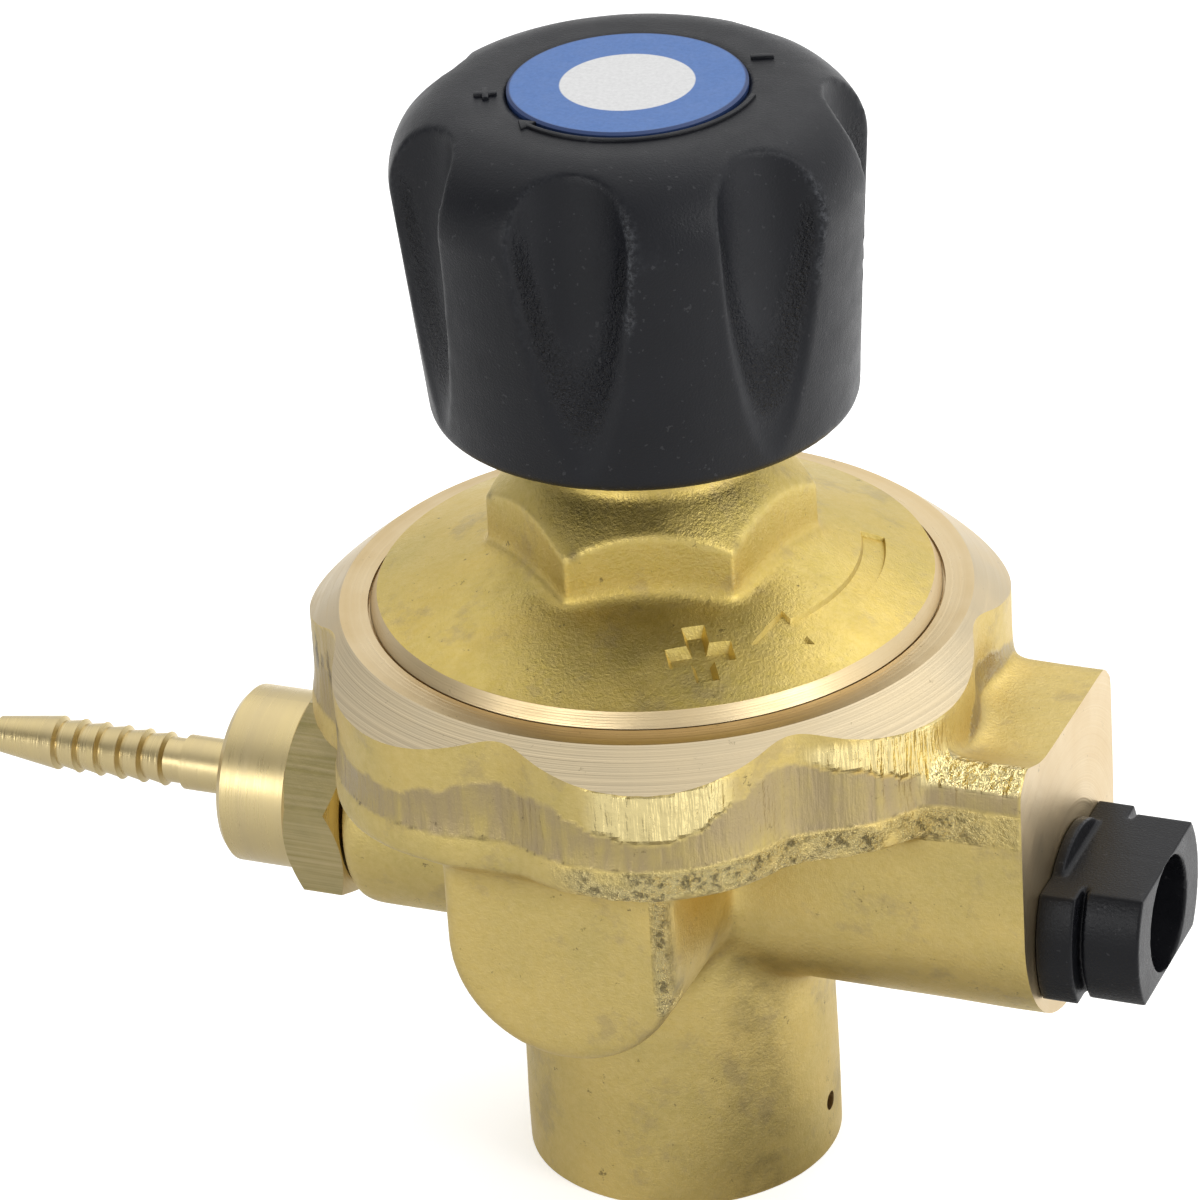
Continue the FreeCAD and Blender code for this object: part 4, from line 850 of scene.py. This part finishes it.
knob_mark("knob_plus", plus_outline(11.5, 0.95, 0.55), -156, 98.6, 99.2)
knob_mark("knob_minus", [(12.50, -0.59), (12.69, -0.04), (10.90, 0.59), (10.71, 0.04)], 42, 98.6, 99.2)
knob_mark("knob_arrow", arc_arrow_outline(10.6, 0.45, 4, -117, 1.4, 0.85, 60), 0, 98.6, 99.15)


# Relief cap

cap = fuse("cap_moulding", [cad_copy("relief_cap", "cap_raw")], 0.17)
soften(cap, 2, 0)
mark_edges(cap, 5.0, 1)
finish_piece(cap, cap_black, "relief_cap", "housing", 50)


# Turned pieces on the outlet

for node in ("hose_tail", "outlet_nipple"):
    nodes[node].data.materials[0] = lathe
nut = nodes["union_nut"]
nut.data.materials.append(lathe)
nut.data.materials[0] = bar
HEX_END, NUT_BORE = -32.9, 7.0
for polygon in nut.data.polygons:
    middle = Vector(polygon.center) / MM
    away = math.hypot(middle.y, middle.z - OUTLET_HEIGHT)
    flat = abs(polygon.normal.x) < 0.05 and middle.x > HEX_END and away > NUT_BORE
    polygon.material_index = 0 if flat else 1


# Floor, light and camera

# Size of the painted shadow under the block, which the floor shows only in reflections.
BLOCK_SHADOW_PATCH = (0.020, 0.012)
FLOOR_SIZE, FLOOR_HEIGHT = 3000, -0.05


def floor_material():
    """White to the camera. In reflections it glows, darker in front, with painted shadow near the part and in one
    dark patch under the block.
    """
    material, s = new_material("floor")
    paths = s.node("ShaderNodeLightPath")
    glossy = paths.outputs["Is Glossy Ray"]
    white = s.mix(s.noise(14, 3, 0.5), rgba(0.80, 0.80, 0.80), rgba(0.83, 0.83, 0.83))
    reflected = s.math("MULTIPLY", glossy, 0.55)
    s.link(s.mix(reflected, white, rgba(0.1, 0.1, 0.1)), s.surface.inputs["Base Color"])
    s.surface.inputs["Roughness"].default_value = 0.8
    s.surface.inputs["Specular IOR Level"].default_value = 0.1
    parts = s.node("ShaderNodeSeparateXYZ")
    s.link(s.place, parts.inputs["Vector"])
    behind = s.math("ADD", parts.outputs["Y"], s.math("MULTIPLY", parts.outputs["X"], 0.8))
    bright = s.spread(behind, -0.05, 0.05, 0.40, 0.92)
    # Painted shadow in reflections: darker near the part.
    far = s.node("ShaderNodeVectorMath", operation="LENGTH")
    s.link(s.place, far.inputs[0])
    bright = s.math("MULTIPLY", bright, s.spread(far.outputs["Value"], 0.03, 0.11, 0.6, 1.0))
    # Painted shadow in reflections: the patch under the block.
    near = s.node("ShaderNodeVectorMath", operation="LENGTH")
    place = s.node("ShaderNodeMapping")
    s.link(s.place, place.inputs["Vector"])
    place.inputs["Location"].default_value = (-0.023 / BLOCK_SHADOW_PATCH[0], 0.011 / BLOCK_SHADOW_PATCH[1], 0)
    place.inputs["Scale"].default_value = (1 / BLOCK_SHADOW_PATCH[0], 1 / BLOCK_SHADOW_PATCH[1], 1)
    s.link(place.outputs["Vector"], near.inputs[0])
    bright = s.math("MULTIPLY", bright, s.spread(near.outputs["Value"], 0.6, 1.3, 0.0, 1.0))
    to_camera = s.math("MULTIPLY", paths.outputs["Is Camera Ray"], 0.5)
    seen = s.math("ADD", to_camera, s.math("MULTIPLY", glossy, bright))
    s.surface.inputs["Emission Color"].default_value = rgba(1, 1, 1)
    s.link(seen, s.surface.inputs["Emission Strength"])
    return material


floor = mesh_object("floor", [(u * FLOOR_SIZE, v * FLOOR_SIZE, FLOOR_HEIGHT)
                              for u, v in ((-1, -1), (1, -1), (1, 1), (-1, 1))], [(0, 1, 2, 3)])
floor.data.transform(Matrix.Scale(MM, 4))
floor.data.materials.append(floor_material())

ROOM, BACK_WALL, RIGHT_WALL, FRONT_WALL, CEILING = 0.25, 0.66, 0.70, 0.85, 0.6
world = bpy.data.worlds.new("studio")
bpy.context.scene.world = world
world.use_nodes = True
tree = world.node_tree
background = tree.nodes["Background"]


def world_math(operation, a, b, c=0.0, clamp=False):
    made = tree.nodes.new("ShaderNodeMath")
    made.operation = operation
    made.use_clamp = clamp
    for socket, value in zip(made.inputs, (a, b, c)):
        if hasattr(value, "is_linked"):
            tree.links.new(value, socket)
        else:
            socket.default_value = value
    return made.outputs["Value"]


def facing(towards, low, high):
    """How far a direction in the room faces the given one, from 0 at low to 1 at high."""
    made = tree.nodes.new("ShaderNodeVectorMath")
    made.operation = "DOT_PRODUCT"
    tree.links.new(direction.outputs["Generated"], made.inputs[0])
    made.inputs[1].default_value = Vector(towards).normalized()
    return world_math("MULTIPLY_ADD", made.outputs["Value"], 1 / (high - low), -low / (high - low), True)


direction = tree.nodes.new("ShaderNodeTexCoord")
glow = world_math("MULTIPLY_ADD", facing((0.1, 0.9, 0.45), -0.2, 0.95), BACK_WALL, ROOM)
glow = world_math("MULTIPLY_ADD", facing((0.95, -0.2, 0.35), 0.45, 0.95), RIGHT_WALL, glow)
glow = world_math("MULTIPLY_ADD", facing((-0.3, -0.95, -0.2), 0.72, 0.97), FRONT_WALL, glow)
glow = world_math("MULTIPLY_ADD", facing((-0.3, 0.15, 0.94), 0.6, 0.95), CEILING, glow)
paths = tree.nodes.new("ShaderNodeLightPath")
seen = paths.outputs["Is Camera Ray"]
tree.links.new(world_math("MAXIMUM", glow, seen), background.inputs["Color"])
background.inputs["Strength"].default_value = 1.0


def softbox(name, place, target, size, power):
    """A rectangular lamp turned towards the part."""
    lamp = bpy.data.lights.new(name, "AREA")
    lamp.shape = "RECTANGLE"
    lamp.size, lamp.size_y = size
    lamp.energy = power
    obj = bpy.data.objects.new(name, lamp)
    obj.location = Vector(place)
    obj.rotation_euler = (Vector(target) - Vector(place)).to_track_quat("-Z", "Y").to_euler()
    bpy.context.scene.collection.objects.link(obj)


centre = (0, 0, 0.05)
softbox("key", (-0.25, -0.75, 0.27), centre, (0.6, 0.22), 1.4)
softbox("fill", (0.75, -0.25, 0.45), centre, (0.3, 0.5), 1.8)
softbox("back", (0.25, 0.55, 0.75), centre, (0.7, 0.4), 1.2)

# The camera fitted to the photo
PHOTO_SIZE = 1200
PHOTO_CENTRE = (660.94, 669.49)
FOCAL_PIXELS = 7127.1
AZIMUTH = math.radians(22.48)
ELEVATION = math.radians(29.02)
ROLL = math.radians(-3.29)
right = Vector((math.cos(AZIMUTH), math.sin(AZIMUTH), 0))
back = Vector((math.sin(AZIMUTH) * math.cos(ELEVATION), -math.cos(AZIMUTH) * math.cos(ELEVATION),
               math.sin(ELEVATION)))
up = back.cross(right)
right_rolled = math.cos(ROLL) * right + math.sin(ROLL) * up
up_rolled = -math.sin(ROLL) * right + math.cos(ROLL) * up
camera = bpy.data.cameras.new("camera")
camera.sensor_width = 36.0
camera.lens = FOCAL_PIXELS / PHOTO_SIZE * camera.sensor_width
camera.shift_x = (PHOTO_SIZE / 2 - PHOTO_CENTRE[0]) / PHOTO_SIZE
camera.shift_y = (PHOTO_CENTRE[1] - PHOTO_SIZE / 2) / PHOTO_SIZE
camera.clip_start = 0.01
view = bpy.data.objects.new("camera", camera)
turn = Matrix((right_rolled, up_rolled, back)).transposed().to_4x4()
view.matrix_world = Matrix.Translation(Vector((0.2006, -0.4848, 0.3361))) @ turn
bpy.context.scene.collection.objects.link(view)
bpy.context.scene.camera = view
bpy.context.scene.view_settings.view_transform = "Standard"
